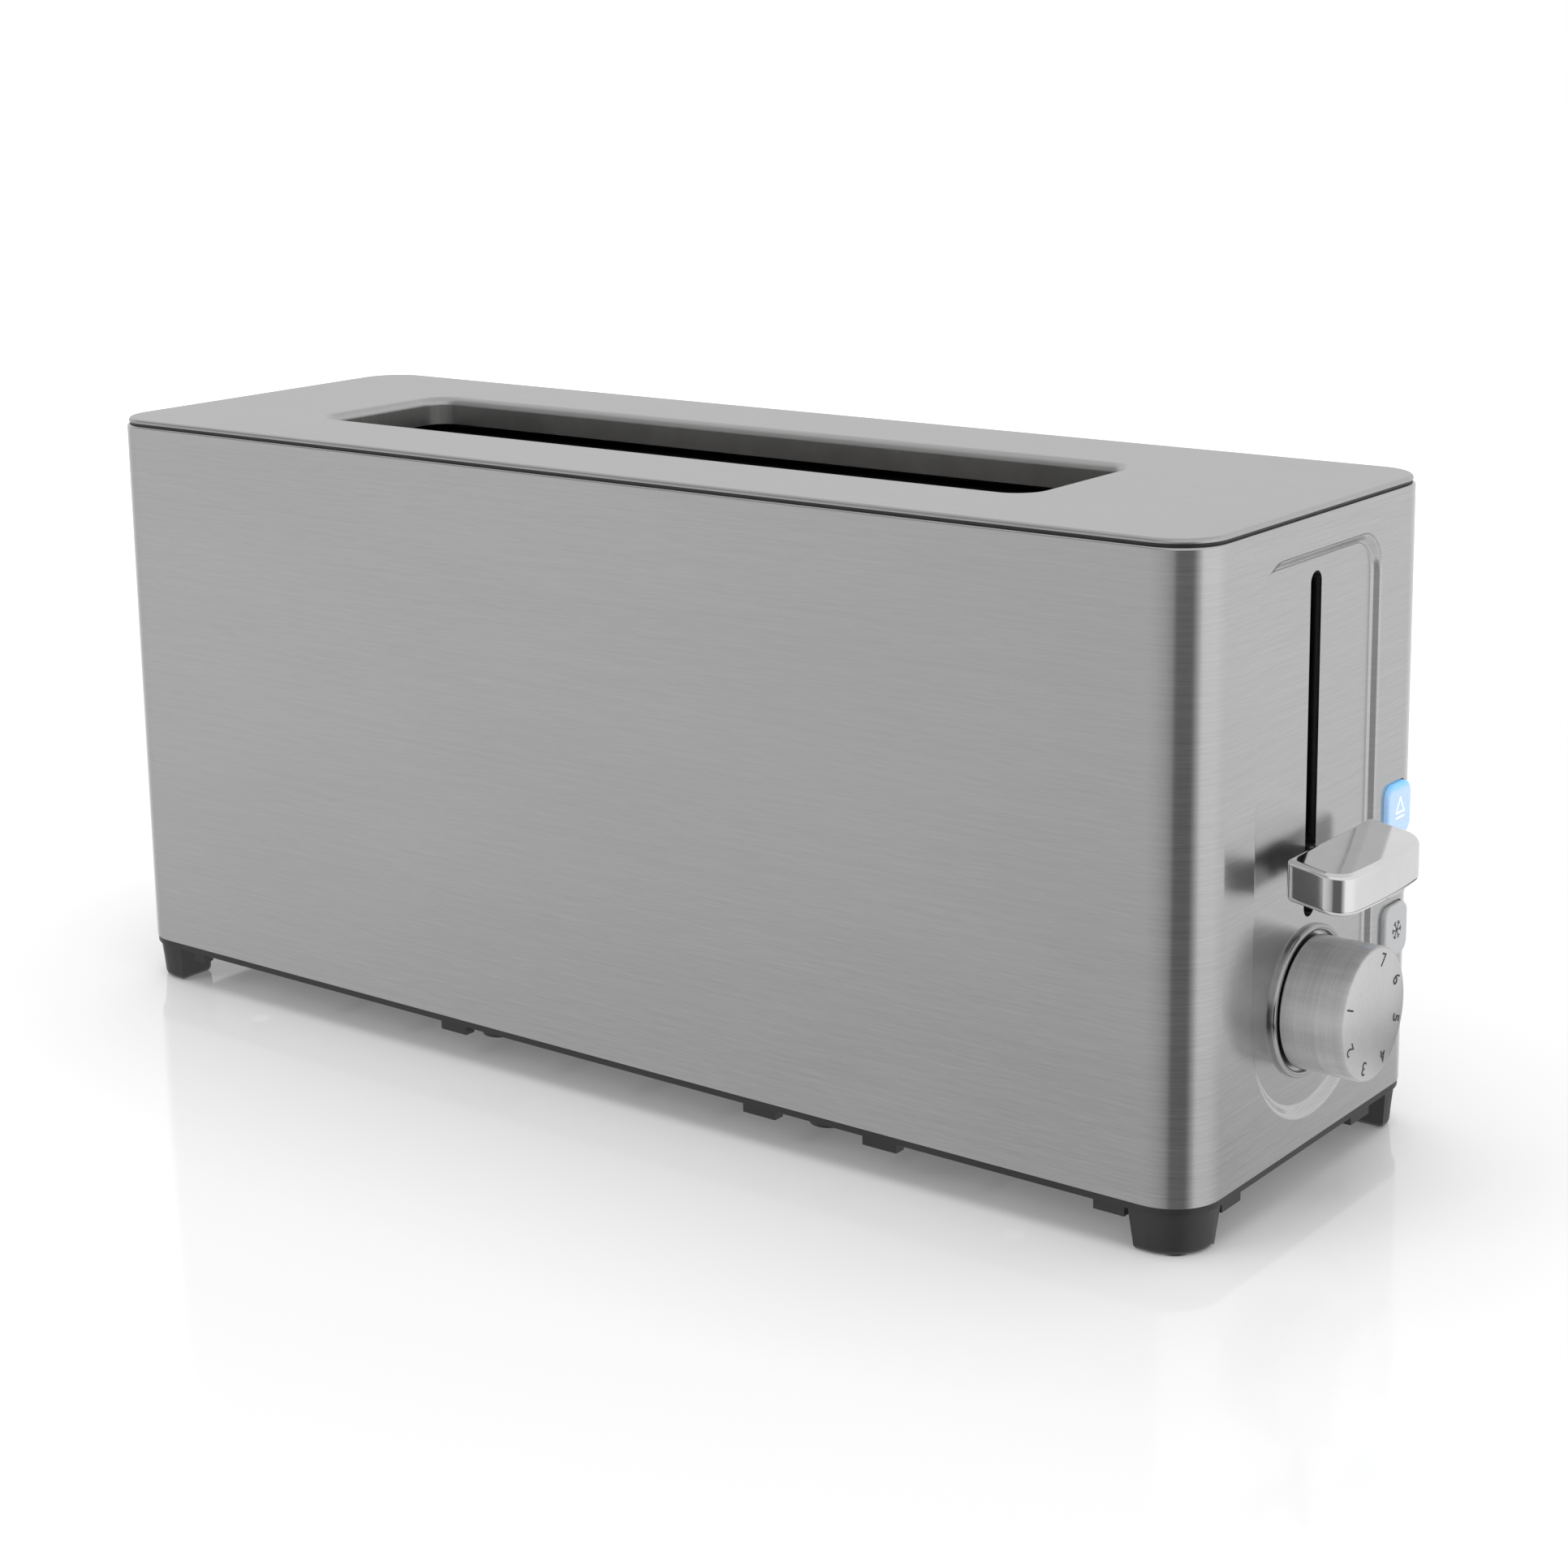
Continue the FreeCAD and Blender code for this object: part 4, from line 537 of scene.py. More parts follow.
DIAL_MIDDLE = tuple(Room.of("dial_knob").middle * METRE)
CANCEL_MIDDLE = tuple(Room.of("cancel_button").middle * METRE)
STEEL = BrushedSheet("brushed_steel", (0.56, 0.56, 0.56), 0.22)
LID_STEEL = BrushedSheet("brushed_lid", (0.52, 0.52, 0.518), 0.34, grain=Grain.ALONG, spread=0.0)
CHROME = PlainMetal("polished_chrome", (0.80, 0.80, 0.80), 0.08, mottle=0.02, size=90.0, worn=0.02)
# the dial's side: the same satin metal as its face, made darker, painted shade on the side
SHADED_DIAL_SIDE = TurnedMetal("satin_dial", (0.50, 0.50, 0.50), 0.10, centre=DIAL_MIDDLE, contrast=0.16)
# polished chrome made darker for the dial's ring: painted shade
SHADED_RING_METAL = PlainMetal("polished_chrome", (0.42, 0.42, 0.42), 0.14, mottle=0.04, label="ring_metal")
DIAL_FACE = BrushedSheet("satin_dial", (0.70, 0.70, 0.70), 0.36, label="dial_face", grain=Grain.FACE,
                         contrast=0.05, spread=0.0)
BLACK = Moulded("black_plastic", (0.022, 0.022, 0.023), 0.36)
INK = Moulded("satin_dial", (0.03, 0.03, 0.035), 0.5, label="dial_ink")
ICON_WHITE = LitPlastic("lit_button", (0.95, 0.98, 1.0), 0.4, label="lit_icon", edge=(0.95, 0.98, 1.0))
ICON_DARK = Moulded("plain_button", (0.12, 0.12, 0.13), 0.5, label="dark_icon")
CANCEL = LitPlastic("lit_button", (0.50, 0.68, 0.95), 0.30, centre=CANCEL_MIDDLE)
BUTTON = Moulded("plain_button", (0.60, 0.61, 0.62), 0.30, mottle=0.03, coat=0.3)

SLOT_FINISHES: dict[str, Finish] = {
    "brushed_steel": STEEL,
    "brushed_lid": LID_STEEL,
    "polished_chrome": CHROME,
    "satin_dial": SHADED_DIAL_SIDE,
    "black_plastic": BLACK,
    "lit_button": CANCEL,
    "plain_button": BUTTON,
    # near black all over, a dark sheet that stands in for the shade inside the toaster: painted shade
    "blackened_steel": PlainMetal("blackened_steel", (0.035, 0.035, 0.036), 0.45, mottle=0.2, worn=0.1),
    "foot_rubber": Moulded("foot_rubber", (0.012, 0.012, 0.012), 0.75, size=1500.0),
    "plated_steel": PlainMetal("plated_steel", (0.50, 0.51, 0.52), 0.36, mottle=0.15, size=160.0),
    "bright_aluminium": BrushedSheet("bright_aluminium", (0.66, 0.66, 0.67), 0.30, spread=0.0, contrast=0.06),
    "mica_board": Flecked("mica_board", (0.34, 0.29, 0.21)),
    "heating_ribbon": PlainMetal("heating_ribbon", (0.27, 0.24, 0.22), 0.5, mottle=0.3, size=400.0, worn=0.5),
    "guide_wire": PlainMetal("guide_wire", (0.42, 0.42, 0.43), 0.28, mottle=0.12, worn=0.3),
    "spring_steel": PlainMetal("spring_steel", (0.48, 0.48, 0.49), 0.25),
    "bronze_bush": PlainMetal("bronze_bush", (0.45, 0.29, 0.13), 0.5, mottle=0.25, size=2500.0),
    "contact_brass": PlainMetal("contact_brass", (0.70, 0.52, 0.22), 0.28),
    "copper_coil": Wound("copper_coil", (0.50, 0.20, 0.08), 0.3, metallic=1.0),
    "grey_nylon": Moulded("grey_nylon", (0.25, 0.25, 0.25), 0.45),
    "circuit_board": Tracked("circuit_board", (0.03, 0.16, 0.06), 0.35),
    "relay_case": Moulded("relay_case", (0.02, 0.06, 0.22), 0.35, coat=0.3),
    "capacitor_case": Moulded("capacitor_case", (0.38, 0.07, 0.03), 0.3, coat=0.5),
    "lamp_lens": Moulded("lamp_lens", (0.35, 0.6, 0.95), 0.1, size=600.0, coat=0.6),
}


# --- Making pieces ------------------------------------------------------------------------------

class Metalwork:
    """Mesh steps that the sub-assemblies share, on meshes in millimetres."""

    MERGE = 0.001
    CAD_MERGE = 0.002
    FLAT = math.radians(0.6)

    @staticmethod
    def box(x: Span, y: Span, z: Span) -> bmesh.types.BMesh:
        """A box from three spans.

        Args:
            x: The span along X.
            y: The span along Y.
            z: The span along Z.

        Returns:
            The mesh.
        """
        mesh = bmesh.new()
        bmesh.ops.create_cube(mesh, size=1.0)
        spans = (x, y, z)
        bmesh.ops.scale(mesh, vec=[b - a for a, b in spans], verts=mesh.verts)
        bmesh.ops.translate(mesh, vec=[(a + b) / 2 for a, b in spans], verts=mesh.verts)
        return mesh

    @staticmethod
    def ease(mesh: bmesh.types.BMesh, wanted: EdgeTest, width: float, segments: int) -> None:
        """Round the edges that a test picks.

        Args:
            mesh: The mesh.
            wanted: The test.
            width: The bevel's width.
            segments: How many facets it has.
        """
        edges = [e for e in mesh.edges if wanted(e)]
        bmesh.ops.bevel(mesh, geom=edges, offset=width, offset_type="OFFSET", segments=segments,
                        profile=0.5, affect="EDGES", clamp_overlap=True, material=-1)

    @staticmethod
    def sharp(angle: float) -> EdgeTest:
        """A test for edges whose faces meet at more than an angle in degrees."""
        return lambda edge: len(edge.link_faces) == 2 and edge.calc_face_angle(0) > math.radians(angle)

    @staticmethod
    def lathe(profile: Sequence[tuple[float, float]], height: float, steps: int = 120) -> bmesh.types.BMesh:
        """Turn a profile about an axis along X.

        Args:
            profile: Points as (x, radius), from one pole or edge to the other.
            height: The axis's height.
            steps: Facets in a full turn.

        Returns:
            The closed mesh.
        """
        mesh = bmesh.new()
        points = [mesh.verts.new((x, 0.0, height + radius)) for x, radius in profile]
        edges = [mesh.edges.new(pair) for pair in zip(points, points[1:])]
        bmesh.ops.spin(mesh, geom=points + edges, cent=(0, 0, height), axis=(1, 0, 0),
                       angle=math.tau, steps=steps, use_merge=True)
        bmesh.ops.remove_doubles(mesh, verts=mesh.verts, dist=Metalwork.MERGE)
        bmesh.ops.recalc_face_normals(mesh, faces=mesh.faces)
        return mesh

    @staticmethod
    def copied(node: str) -> bmesh.types.BMesh:
        """A merged copy of a CAD node's mesh, in millimetres, with its flat faces whole.

        Args:
            node: The node's name.

        Returns:
            The mesh.
        """
        mesh = bmesh.new()
        mesh.from_mesh(frame["nodes"][node].data)
        bmesh.ops.scale(mesh, vec=[1 / METRE] * 3, verts=mesh.verts)
        bmesh.ops.remove_doubles(mesh, verts=mesh.verts, dist=Metalwork.CAD_MERGE)
        bmesh.ops.dissolve_limit(mesh, angle_limit=Metalwork.FLAT, verts=mesh.verts, edges=mesh.edges)
        return mesh

    @staticmethod
    def piece(mesh: bmesh.types.BMesh, name: str, finish: Finish, body: str,
              stands_for: Iterable[str] = (), crease: float = 35.0) -> bpy.types.Object:
        """Turn a mesh in millimetres into a finished piece on its body.

        Args:
            mesh: The mesh, which is used up.
            name: The piece's name.
            finish: Its finish.
            body: The CAD body that it rides on.
            stands_for: CAD nodes that it replaces.
            crease: Edges sharper than this many degrees stay sharp.

        Returns:
            The piece's object.
        """
        bmesh.ops.scale(mesh, vec=[METRE] * 3, verts=mesh.verts)
        data = bpy.data.meshes.new(name)
        mesh.to_mesh(data)
        mesh.free()
        data.shade_smooth()
        data.set_sharp_from_angle(angle=math.radians(crease))
        made = bpy.data.objects.new(name, data)
        bpy.context.scene.collection.objects.link(made)
        data.materials.append(finish.material())
        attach(made, body)
        if stands_for:
            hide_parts(*stands_for)
        log.info("%s: %d faces on %s", name, len(data.polygons), body)
        return made

    @staticmethod
    def even(made: bpy.types.Object) -> None:
        """Weight the normals by face area, so that flat faces stay flat beside their bevels."""
        weigh = made.modifiers.new("flat_faces", "WEIGHTED_NORMAL")
        weigh.keep_sharp = True
        weigh.weight = 90


# --- Sub-assemblies -----------------------------------------------------------------------------

@dataclass
class Housing:
    """The wrapped sleeve, whose pressed panel has rounded edges."""

    press_width: float = 0.7
    sheet_edge: float = 0.25
    slope: Span = (0.5, 0.9)
    panel_reach: float = 36.0
    panel_depth: float = 2.8

    def build(self) -> None:
        """Make the sleeve."""
        mesh = Metalwork.copied("outer_sleeve")
        floor = Room.of("outer_sleeve").high.x - self.panel_depth
        rims = {e for f in mesh.faces if self._pressed(f, floor) for e in f.edges}
        creased = Metalwork.sharp(25.0)
        Metalwork.ease(mesh, lambda e: e in rims and creased(e), self.press_width, 4)
        Metalwork.ease(mesh, Metalwork.sharp(50.0), self.sheet_edge, 2)
        Metalwork.even(Metalwork.piece(mesh, "sleeve", STEEL, "casing", ("outer_sleeve",)))

    def _pressed(self, face: bmesh.types.BMFace, floor: float) -> bool:
        """Whether a face is part of the panel's sloping wall.

        Args:
            face: The face.
            floor: A place just behind the panel's floor.

        Returns:
            The answer.
        """
        middle = face.calc_center_median()
        return (self.slope[0] < face.normal.x < self.slope[1] and abs(middle.y) < self.panel_reach
                and middle.x > floor)


@dataclass
class EasedParts:
    """CAD parts whose shape is right: copies of them with their sharp edges broken."""

    widths: tuple[tuple[str, float], ...] = (
        ("base_frame", 0.45), ("crumb_tray_handle", 0.5), ("slot_frame", 0.2), ("slot_shield", 0.25),
        ("lever_end_plate", 0.2), ("rear_end_plate", 0.2), ("heater_board_left", 0.15),
        ("heater_board_right", 0.15), ("heat_shield_left", 0.12), ("heat_shield_right", 0.12),
        ("control_board", 0.2), ("power_relay", 0.6), ("dropper_capacitor", 1.6), ("contact_block", 0.5),
        ("contact_blades", 0.12), ("terminal_block", 0.6), ("magnet_bracket", 0.4), ("latch_plate", 0.4),
        ("timer_control", 0.5), ("push_switches", 0.35), ("carriage_slider", 0.6), ("rack_riser", 0.25),
        ("bread_rack", 0.25), ("crumb_tray", 0.15), ("lever_stem", 0.4), ("button_guide", 0.3))

    def build(self) -> None:
        """Copy and ease each part."""
        slots = {p["node"]: p["material_slot"] for p in frame["record"]["subparts"]}
        bodies = frame["record"]["behaviour"]["bodies"]
        home = {node: body for body, members in bodies.items() for node in members}
        for node, width in self.widths:
            mesh = Metalwork.copied(node)
            Metalwork.ease(mesh, Metalwork.sharp(40.0), width, 2)
            Metalwork.even(Metalwork.piece(mesh, "eased_" + node, SLOT_FINISHES[slots[node]], home[node],
                                           (node,)))


@dataclass
class LiftSpring:
    """The carriage's lift spring, hung by its top end."""

    joint: str = "carriage_slide"

    def build(self) -> None:
        """Make the spring, a copy of the CAD spring with a mesh of its own."""
        room = Room.of("lift_spring")
        slides = {j["name"]: j["range_m"] for j in frame["record"]["behaviour"]["joints"] if "range_m" in j}
        travel = slides[self.joint][1] / METRE
        spring = Metalwork.piece(Metalwork.copied("lift_spring"), "spring", SLOT_FINISHES["spring_steel"],
                                 "casing", ("lift_spring",))
        1 - travel / room.size.z
        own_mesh(spring)


@dataclass
class Lever:
    """The polished lever: a drooping paddle with a bowed front."""

    droop: float = 2.6
    bow: float = 1.6
    corner: float = 6.0
    edge: float = 1.5
    cut_reach: int = 16
    cut_pitch: int = 2

    def build(self) -> None:
        """Make the lever."""
        room = Room.of("lever_knob")
        back, front, half_width = room.low.x, room.high.x, room.high.y
        sag = self.droop / 2
        mesh = Metalwork.box((back, front), (-half_width, half_width), (room.low.z + sag, room.high.z - sag))
        Metalwork.ease(mesh, lambda e: all(v.co.x > front - NEAR for v in e.verts)
                       and abs(e.verts[0].co.z - e.verts[1].co.z) > NEAR, self.corner, 10)
        Metalwork.ease(mesh, Metalwork.sharp(40.0), self.edge, 6)
        for place in range(-self.cut_reach, self.cut_reach + 1, self.cut_pitch):
            bmesh.ops.bisect_plane(mesh, geom=mesh.verts[:] + mesh.edges[:] + mesh.faces[:],
                                   plane_co=(0, place, 0), plane_no=(0, 1, 0))
        for vert in mesh.verts:
            reach = (vert.co.x - back) / (front - back)
            vert.co.x -= self.bow * (vert.co.y / half_width) ** 2 * max(0.0, reach)
            vert.co.z += self.droop * (0.5 - reach)
        Metalwork.even(Metalwork.piece(mesh, "lever", CHROME, "carriage", ("lever_knob",)))


@dataclass
class Dial:
    """The browning dial: a turned knob with printed digits, and the ring round it."""

    chamfer: float = 0.5
    wall: float = 2.5
    hub: float = 6.0
    recess: float = 1.5
    edge: float = 0.4
    draft: float = 0.5
    ring_width: float = 2.0
    digit_radius: float = 13.8
    digit_height: float = 5.2
    ink: float = 0.06
    digit_turns: tuple[tuple[str, float], ...] = (
        ("7", 20.0), ("6", 65.0), ("5", 110.0), ("4", 155.0), ("3", 200.0), ("2", 245.0), ("1", 290.0))

    def __post_init__(self) -> None:
        """Take the knob's room, and its height and face, from the frame."""
        self.room = Room.of("dial_knob")
        self.height = self.room.middle.z
        self.face = self.room.high.x

    def build(self) -> None:
        """Make the knob, its digits and the ring."""
        self._knob()
        self._ring()
        for digit, turn in self.digit_turns:
            self._digit(digit, turn)

    def _knob(self) -> None:
        """The knob: a cup with a flat face, open at the back round its hub."""
        back, face, c = self.room.low.x, self.face, self.chamfer
        r = self.room.size.y / 2
        inside, floor, edge = r - self.wall, back + self.recess, self.edge
        profile = [(back, 0.0), (back, self.hub - edge), (floor, self.hub),
                   (floor, inside - self.draft), (back, inside), (back, r - edge), (back + edge, r),
                   (face - c, r), (face - c * 0.3, r - c * 0.3), (face, r - c), (face, 0.0)]
        mesh = Metalwork.lathe(profile, self.height)
        knob = Metalwork.piece(mesh, "dial", SHADED_DIAL_SIDE, "dial", ("dial_knob",), 28.0)
        knob.data.materials.append(DIAL_FACE.material())
        for polygon in knob.data.polygons:
            if polygon.normal.x > 0.9 and polygon.center.x > (face - NEAR) * METRE:
                polygon.material_index = 1

    def _ring(self) -> None:
        """The raised ring, rolled over at its top."""
        room = Room.of("dial_collar")
        high = room.size.y / 2
        low = high - self.ring_width
        middle, half = (low + high) / 2, self.ring_width / 2
        arc = [(room.high.x - half * (1 - math.sin(a)), middle + half * math.cos(a))
               for a in (math.pi * i / 12 for i in range(13))]
        profile = [(room.low.x, high), *arc, (room.low.x, low), (room.low.x, high)]
        mesh = Metalwork.lathe(profile, self.height, 144)
        Metalwork.piece(mesh, "dial_ring", SHADED_RING_METAL, "casing", ("dial_collar",), 50.0)

    def _digit(self, digit: str, turn: float) -> None:
        """One printed digit.

        Args:
            digit: The digit.
            turn: Its place, in degrees from the top towards the buttons.
        """
        text = bpy.data.curves.new("digit", "FONT")
        text.body = digit
        text.size = self.digit_height
        text.align_x = "CENTER"
        text.align_y = "CENTER"
        text.extrude = self.ink
        holder = bpy.data.objects.new("digit", text)
        bpy.context.scene.collection.objects.link(holder)
        bpy.context.view_layer.update()
        flat = bpy.data.meshes.new_from_object(holder.evaluated_get(bpy.context.evaluated_depsgraph_get()))
        bpy.data.objects.remove(holder)
        mesh = bmesh.new()
        mesh.from_mesh(flat)
        bmesh.ops.remove_doubles(mesh, verts=mesh.verts, dist=Metalwork.MERGE)
        bmesh.ops.translate(mesh, vec=(0, self.digit_radius, 0), verts=mesh.verts)
        upright = Matrix(((0, 0, 1), (1, 0, 0), (0, 1, 0))).to_4x4()
        spot = Matrix.Translation((self.face, 0, self.height))
        swing = Matrix.Rotation(-math.radians(turn), 4, "X")
        bmesh.ops.transform(mesh, matrix=spot @ swing @ upright, verts=mesh.verts)
        Metalwork.piece(mesh, f"digit_{digit}", INK, "dial")


@dataclass
class Buttons:
    """The icons on the three push buttons: a triangle over its base bar, a snowflake, and three waves."""

    raised: float = 0.06
    side: float = 4.6
    stroke: float = 0.5
    base_stroke: float = 0.55
    lift: float = 0.6
    base_drop: float = 2.1
    arm: float = 2.6
    arm_stroke: float = 0.4
    barb: float = 1.0
    barb_stroke: float = 0.32
    barb_place: float = 1.7
    wave: float = 1.75
    wave_stroke: float = 0.42
    wave_rise: float = 1.5
    wave_gap: float = 2.0
    wave_lean: float = 20.0

    def build(self) -> None:
        """Make the icons."""
        self._eject("cancel")
        self._flake("defrost")
        self._warm("reheat")

    def _bar(self, mesh: bmesh.types.BMesh, length: float, width: float, spot: Matrix) -> None:
        """Add a thin bar to an icon.

        Args:
            mesh: The icon's mesh.
            length: The bar's length.
            width: Its width.
            spot: Its place on the button's face.
        """
        shape = Matrix.Diagonal((2 * self.raised, length, width, 1.0))
        bmesh.ops.create_cube(mesh, size=1.0, matrix=spot @ shape)

    def _spot(self, button: str, y: float = 0.0, z: float = 0.0, turn: float = 0.0) -> Matrix:
        """A place on a button's face.

        Args:
            button: The button.
            y: How far it lies from the face's middle, across.
            z: How far it lies above the face's middle.
            turn: Its turn in degrees.

        Returns:
            The place.
        """
        room = Room.of(button + "_button")
        return (Matrix.Translation((room.high.x, room.middle.y + y, room.middle.z + z))
                @ Matrix.Rotation(math.radians(turn), 4, "X"))

    def _eject(self, button: str) -> None:
        """An outlined triangle over a bar."""
        mesh = bmesh.new()
        side, length = self.side, self.side + 0.8 * self.stroke
        rise = side * math.sqrt(3) / 2
        for turn, y, z in ((0.0, 0.0, -rise / 3), (60.0, -side / 4, rise / 6), (-60.0, side / 4, rise / 6)):
            self._bar(mesh, length, self.stroke, self._spot(button, y, z + self.lift, turn))
        self._bar(mesh, length, self.base_stroke, self._spot(button, 0.0, -self.base_drop))
        Metalwork.piece(mesh, button + "_icon", ICON_WHITE, button)

    def _flake(self, button: str) -> None:
        """A snowflake: three crossed bars with small arms."""
        mesh = bmesh.new()
        for turn in range(0, 360, 60):
            arm = self._spot(button, turn=turn)
            fork = arm @ Matrix.Translation((0, self.barb_place, 0))
            self._bar(mesh, self.arm, self.arm_stroke, arm @ Matrix.Translation((0, self.arm / 2, 0)))
            for lean in (-45.0, 45.0):
                barb = fork @ Matrix.Rotation(math.radians(lean), 4, "X")
                self._bar(mesh, self.barb, self.barb_stroke, barb @ Matrix.Translation((0, self.barb / 2, 0)))
        Metalwork.piece(mesh, button + "_icon", ICON_DARK, button)

    def _warm(self, button: str) -> None:
        """Three short wavy bars that stand for warm air."""
        mesh = bmesh.new()
        for column in (-1, 0, 1):
            for step, lean in ((-1, -self.wave_lean), (0, self.wave_lean), (1, -self.wave_lean)):
                spot = self._spot(button, column * self.wave_gap, step * self.wave_rise, 90 + lean)
                self._bar(mesh, self.wave, self.wave_stroke, spot)
        Metalwork.piece(mesh, button + "_icon", ICON_DARK, button)


# --- Studio -------------------------------------------------------------------------------------

@dataclass(frozen=True)
class Lamp:
    """A soft square light: where it stands, its side and its power in watts."""

    name: str
    place: Point
    target: Point
    size: float
    power: float


@dataclass
class Studio:
    """The floor, the surroundings, the soft lights and the camera.

    rounds are the banks of light level with the object and canopy those above it: each has its angle about
    Z in degrees and its brightness. horizon dims them by height, from straight down at 0 to up at 1.
    """

    yaw: float = 0.65483
    pitch: float = 0.20557
    roll: float = -0.01467
    lens: float = 67.60
    shift: float = -0.12
    stand: Point = (514.6, -652.2, 309.4)
    sensor: float = 36.0
    lamps: tuple[Lamp, ...] = (
        Lamp("overhead_light", (0, 0, 1500), (0, 0, 0), 1400, 14.0),
        Lamp("left_light", (-900, -1500, 900), (0, 0, 60), 900, 8.0))
    floor_reach: float = 6000.0
    floor_colour: Colour = (0.80, 0.80, 0.80)
    floor_glow: Span = (0.12, 0.75)
    glow_starts: float = 350.0
    glow_ends: float = 1600.0
    brightness: float = 1.25
    overhead: Colour = (0.54, 0.54, 0.54)
    underfoot: Colour = (0.58, 0.58, 0.58)
    backdrop: Colour = (0.8, 0.8, 0.8)
    rounds: tuple[tuple[float, float], ...] = (
        (-180, 0.66), (-150, 0.76), (-140, 0.78), (-128, 0.74), (-100, 0.66), (-84, 0.56), (-69, 0.38),
        (-62, 0.13), (-30, 0.13), (-18, 0.6), (-9, 1.06), (22, 1.06), (44, 0.94), (60, 0.88), (80, 0.88),
        (110, 0.95), (150, 0.95), (180, 0.66))
    canopy: tuple[tuple[float, float], ...] = (
        (-180, 0.80), (-160, 0.36), (-95, 0.36), (-70, 0.85), (180, 0.80))
    horizon: tuple[tuple[float, float], ...] = (
        (0.0, 1.0), (0.265, 1.0), (0.285, 0.15), (0.305, 0.15), (0.325, 0.94), (0.46, 0.94), (0.54, 1.0),
        (0.62, 1.0), (1.0, 1.0))

    def build(self) -> None:
        """Set up the studio."""
        self._floor()
        self._surroundings()
        for lamp in self.lamps:
            self._light(lamp)
        self._camera()
        bpy.context.scene.view_settings.view_transform = "Standard"

    def _floor(self) -> None:
        """A pale floor with a soft shine."""
        mesh = bmesh.new()
        bmesh.ops.create_grid(mesh, x_segments=1, y_segments=1, size=self.floor_reach * METRE)
        data = bpy.data.meshes.new("floor")
        mesh.to_mesh(data)
        mesh.free()
        floor = bpy.data.objects.new("floor", data)
        bpy.context.scene.collection.objects.link(floor)
        paper = bpy.data.materials.new("floor_paper")
        paper.use_nodes = True
        bench = Bench(paper.node_tree)
        away = bench.node("ShaderNodeVectorMath", {"operation": "LENGTH"}, {0: bench.place()}, 1)
        near, far = ((level,) * 3 for level in self.floor_glow)
        glow = bench.blend(away.ramp(self.glow_starts * METRE, self.glow_ends * METRE), near, far)
        skin = bench.node("ShaderNodeBsdfPrincipled", {}, {
            "Base Color": (*self.floor_colour, 1.0), "Roughness": 0.08, "Specular IOR Level": 0.7,
            "Emission Color": glow, "Emission Strength": 1.0})
        bench.close("ShaderNodeOutputMaterial", skin)
        data.materials.append(paper)
        floor.visible_glossy = False

    def _surroundings(self) -> None:
        """A pale studio with soft bright and dark banks round the object, seen only in its reflections."""
        world = bpy.data.worlds.new("studio")
        bpy.context.scene.world = world
        world.use_nodes = True
        bench = Bench(world.node_tree)
        along, across, up = bench.split(bench.node("ShaderNodeTexCoord", output="Generated"))
        turn = across.angle_from(along) / math.tau + 0.5
        sides = bench.blend(up.ramp(-0.04, 0.16), self._banks(self.rounds, turn),
                            self._banks(self.canopy, turn))
        upper = bench.blend(up.ramp(0.55, 0.8), sides, self.overhead)
        whole = bench.blend(1 - up.ramp(-0.75, -0.45), upper, self.underfoot)
        height = bench.node("ShaderNodeValToRGB", {"stops": [(z, (v,) * 3) for z, v in self.horizon]},
                            {0: up * 0.5 + 0.5})
        sky = bench.node("ShaderNodeMix", {"data_type": "RGBA", "blend_type": "MULTIPLY"},
                         {0: 1.0, 6: whole, 7: height}, 2)
        seen = bench.node("ShaderNodeLightPath", output="Is Camera Ray")
        shown = bench.blend(seen, sky, self.backdrop)
        glow = bench.node("ShaderNodeBackground", {}, {"Color": shown, "Strength": self.brightness})
        bench.close("ShaderNodeOutputWorld", glow)

    def _banks(self, ring: Sequence[tuple[float, float]], turn: Wire) -> Wire:
        """Bright and dark banks round the object.

        Args:
            ring: Each bank's angle about Z in degrees, and how bright it looks.
            turn: The angle, from 0 to 1.

        Returns:
            The banks' colour.
        """
        stops = [((angle + 180) / 360, (level / self.brightness,) * 3) for angle, level in ring]
        return turn.bench.node("ShaderNodeValToRGB", {"stops": stops}, {0: turn})

    @staticmethod
    def _light(lamp: Lamp) -> None:
        """Hang a light, which shows in no reflection."""
        light = bpy.data.lights.new(lamp.name, "AREA")
        light.shape = "SQUARE"
        light.size = lamp.size * METRE
        light.energy = lamp.power
        made = bpy.data.objects.new(lamp.name, light)
        bpy.context.scene.collection.objects.link(made)
        made.location = Vector(lamp.place) * METRE
        made.rotation_mode = "QUATERNION"
        made.rotation_quaternion = (Vector(lamp.target) - Vector(lamp.place)).to_track_quat("-Z", "Y")
        made.visible_glossy = False

    def _camera(self) -> None:
        """The camera, level with the object's upper half and turned to its lever end."""
        ahead = Vector((-math.sin(self.yaw) * math.cos(self.pitch),
                        math.cos(self.yaw) * math.cos(self.pitch), -math.sin(self.pitch)))
        right = Vector((math.cos(self.yaw), math.sin(self.yaw), 0.0))
        up = right.cross(ahead)
        across = math.cos(self.roll) * right + math.sin(self.roll) * up
        above = math.cos(self.roll) * up - math.sin(self.roll) * right
        view = bpy.data.cameras.new("camera")
        view.lens = self.lens
        view.sensor_width = self.sensor
        view.shift_y = self.shift
        view.clip_start = 0.05
        view.clip_end = 60.0
        made = bpy.data.objects.new("camera", view)
        bpy.context.scene.collection.objects.link(made)
        made.matrix_world = (Matrix.Translation(Vector(self.stand) * METRE)
                             @ Matrix((across, above, -ahead)).transposed().to_4x4())
        bpy.context.scene.camera = made


def dress_frame() -> None:
    """Give every CAD node the finish of its slot in the record."""
    for part in frame["record"]["subparts"]:
        node = frame["nodes"][part["node"]]
        finish = SLOT_FINISHES[part["material_slot"]].material()
        for place in node.material_slots:
            place.material = finish


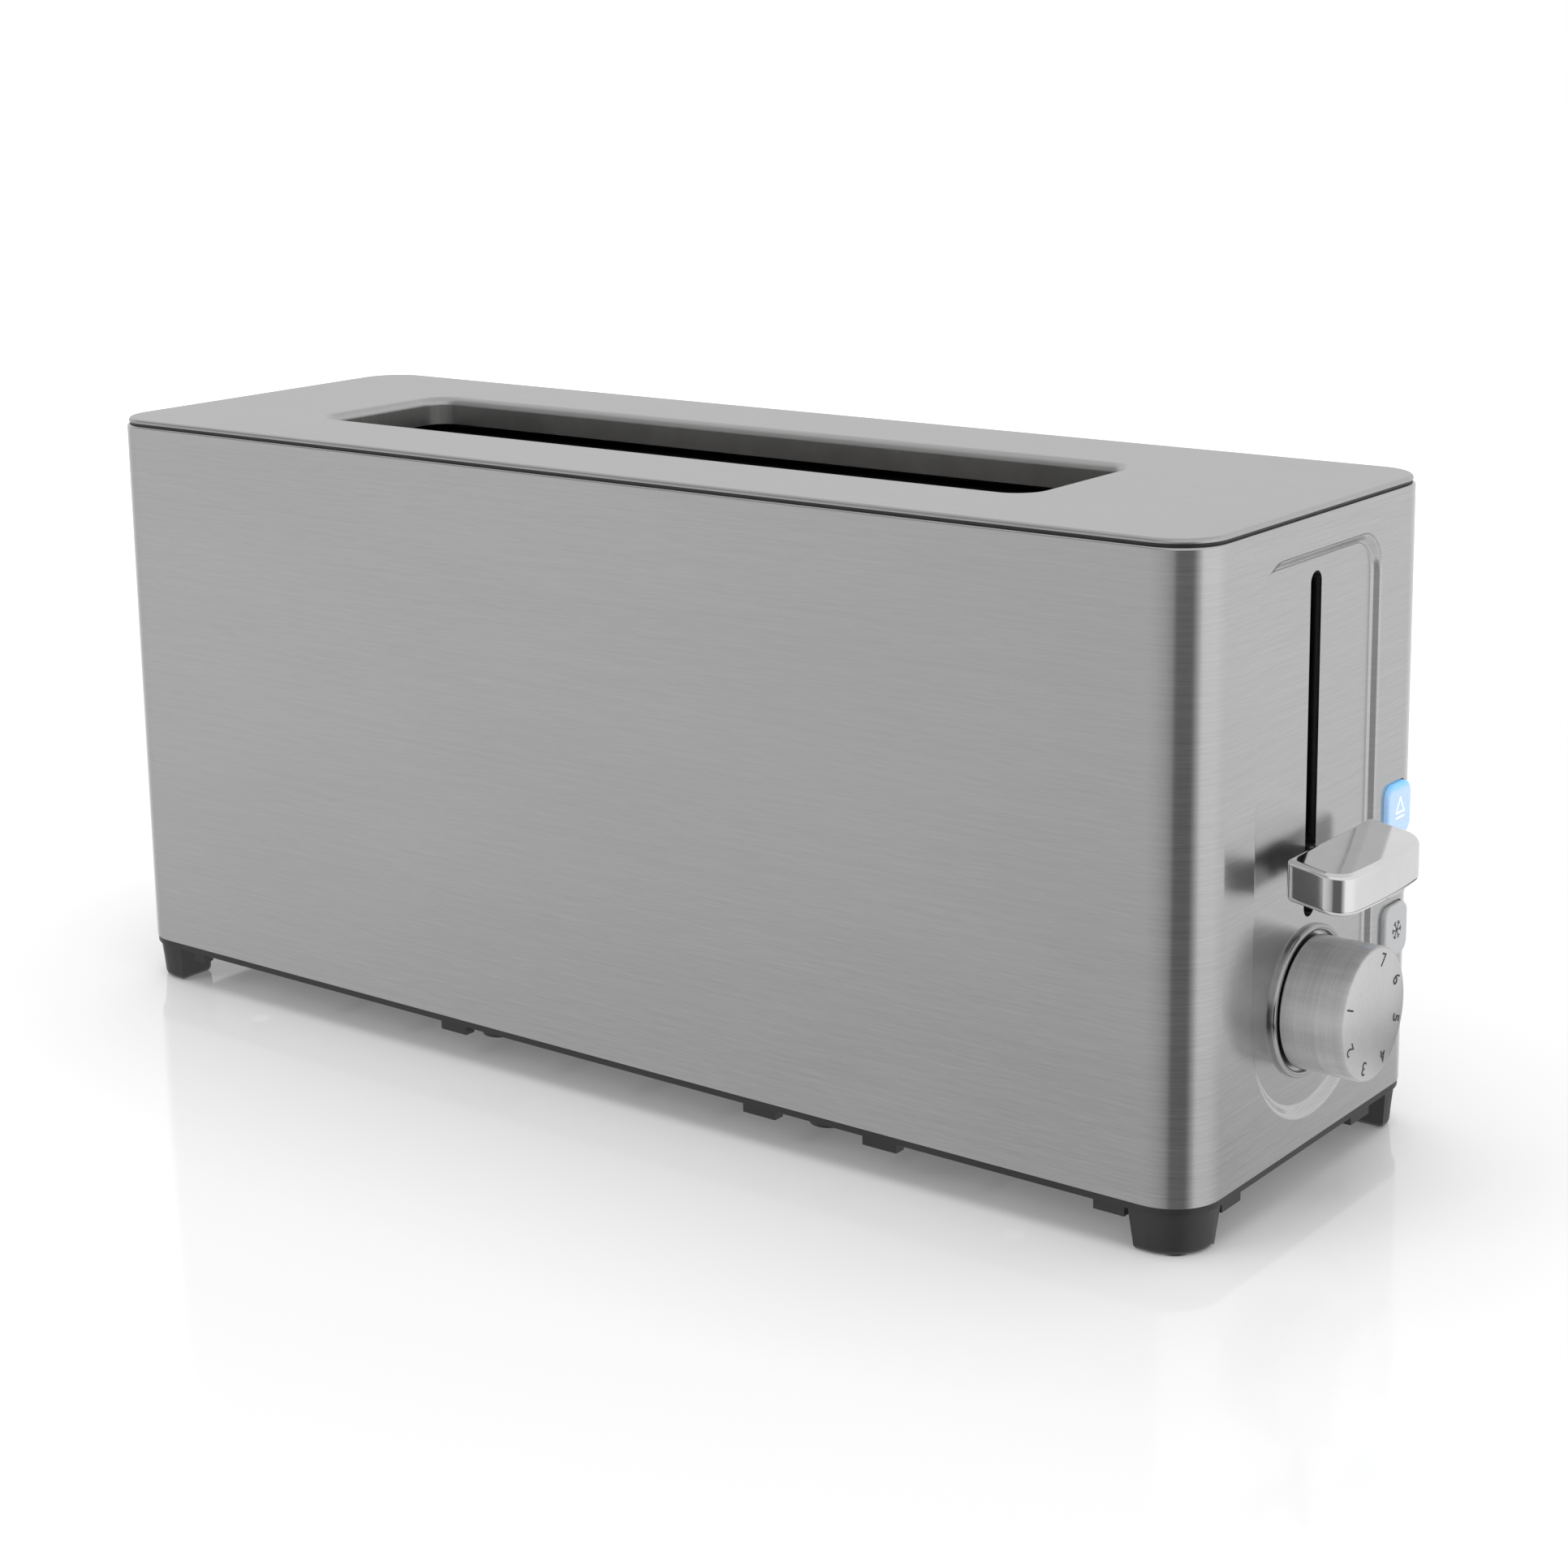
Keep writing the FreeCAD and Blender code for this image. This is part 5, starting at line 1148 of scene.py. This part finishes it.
def main() -> None:
    """Build the studio and the toaster's looks."""
    logging.basicConfig(level=logging.INFO, format="%(name)s %(message)s")
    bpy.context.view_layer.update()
    dress_frame()
    for assembly in (Housing(), EasedParts(), LiftSpring(), Lever(), Dial(), Buttons(), Studio()):
        assembly.build()


if __name__ == "__main__":
    main()
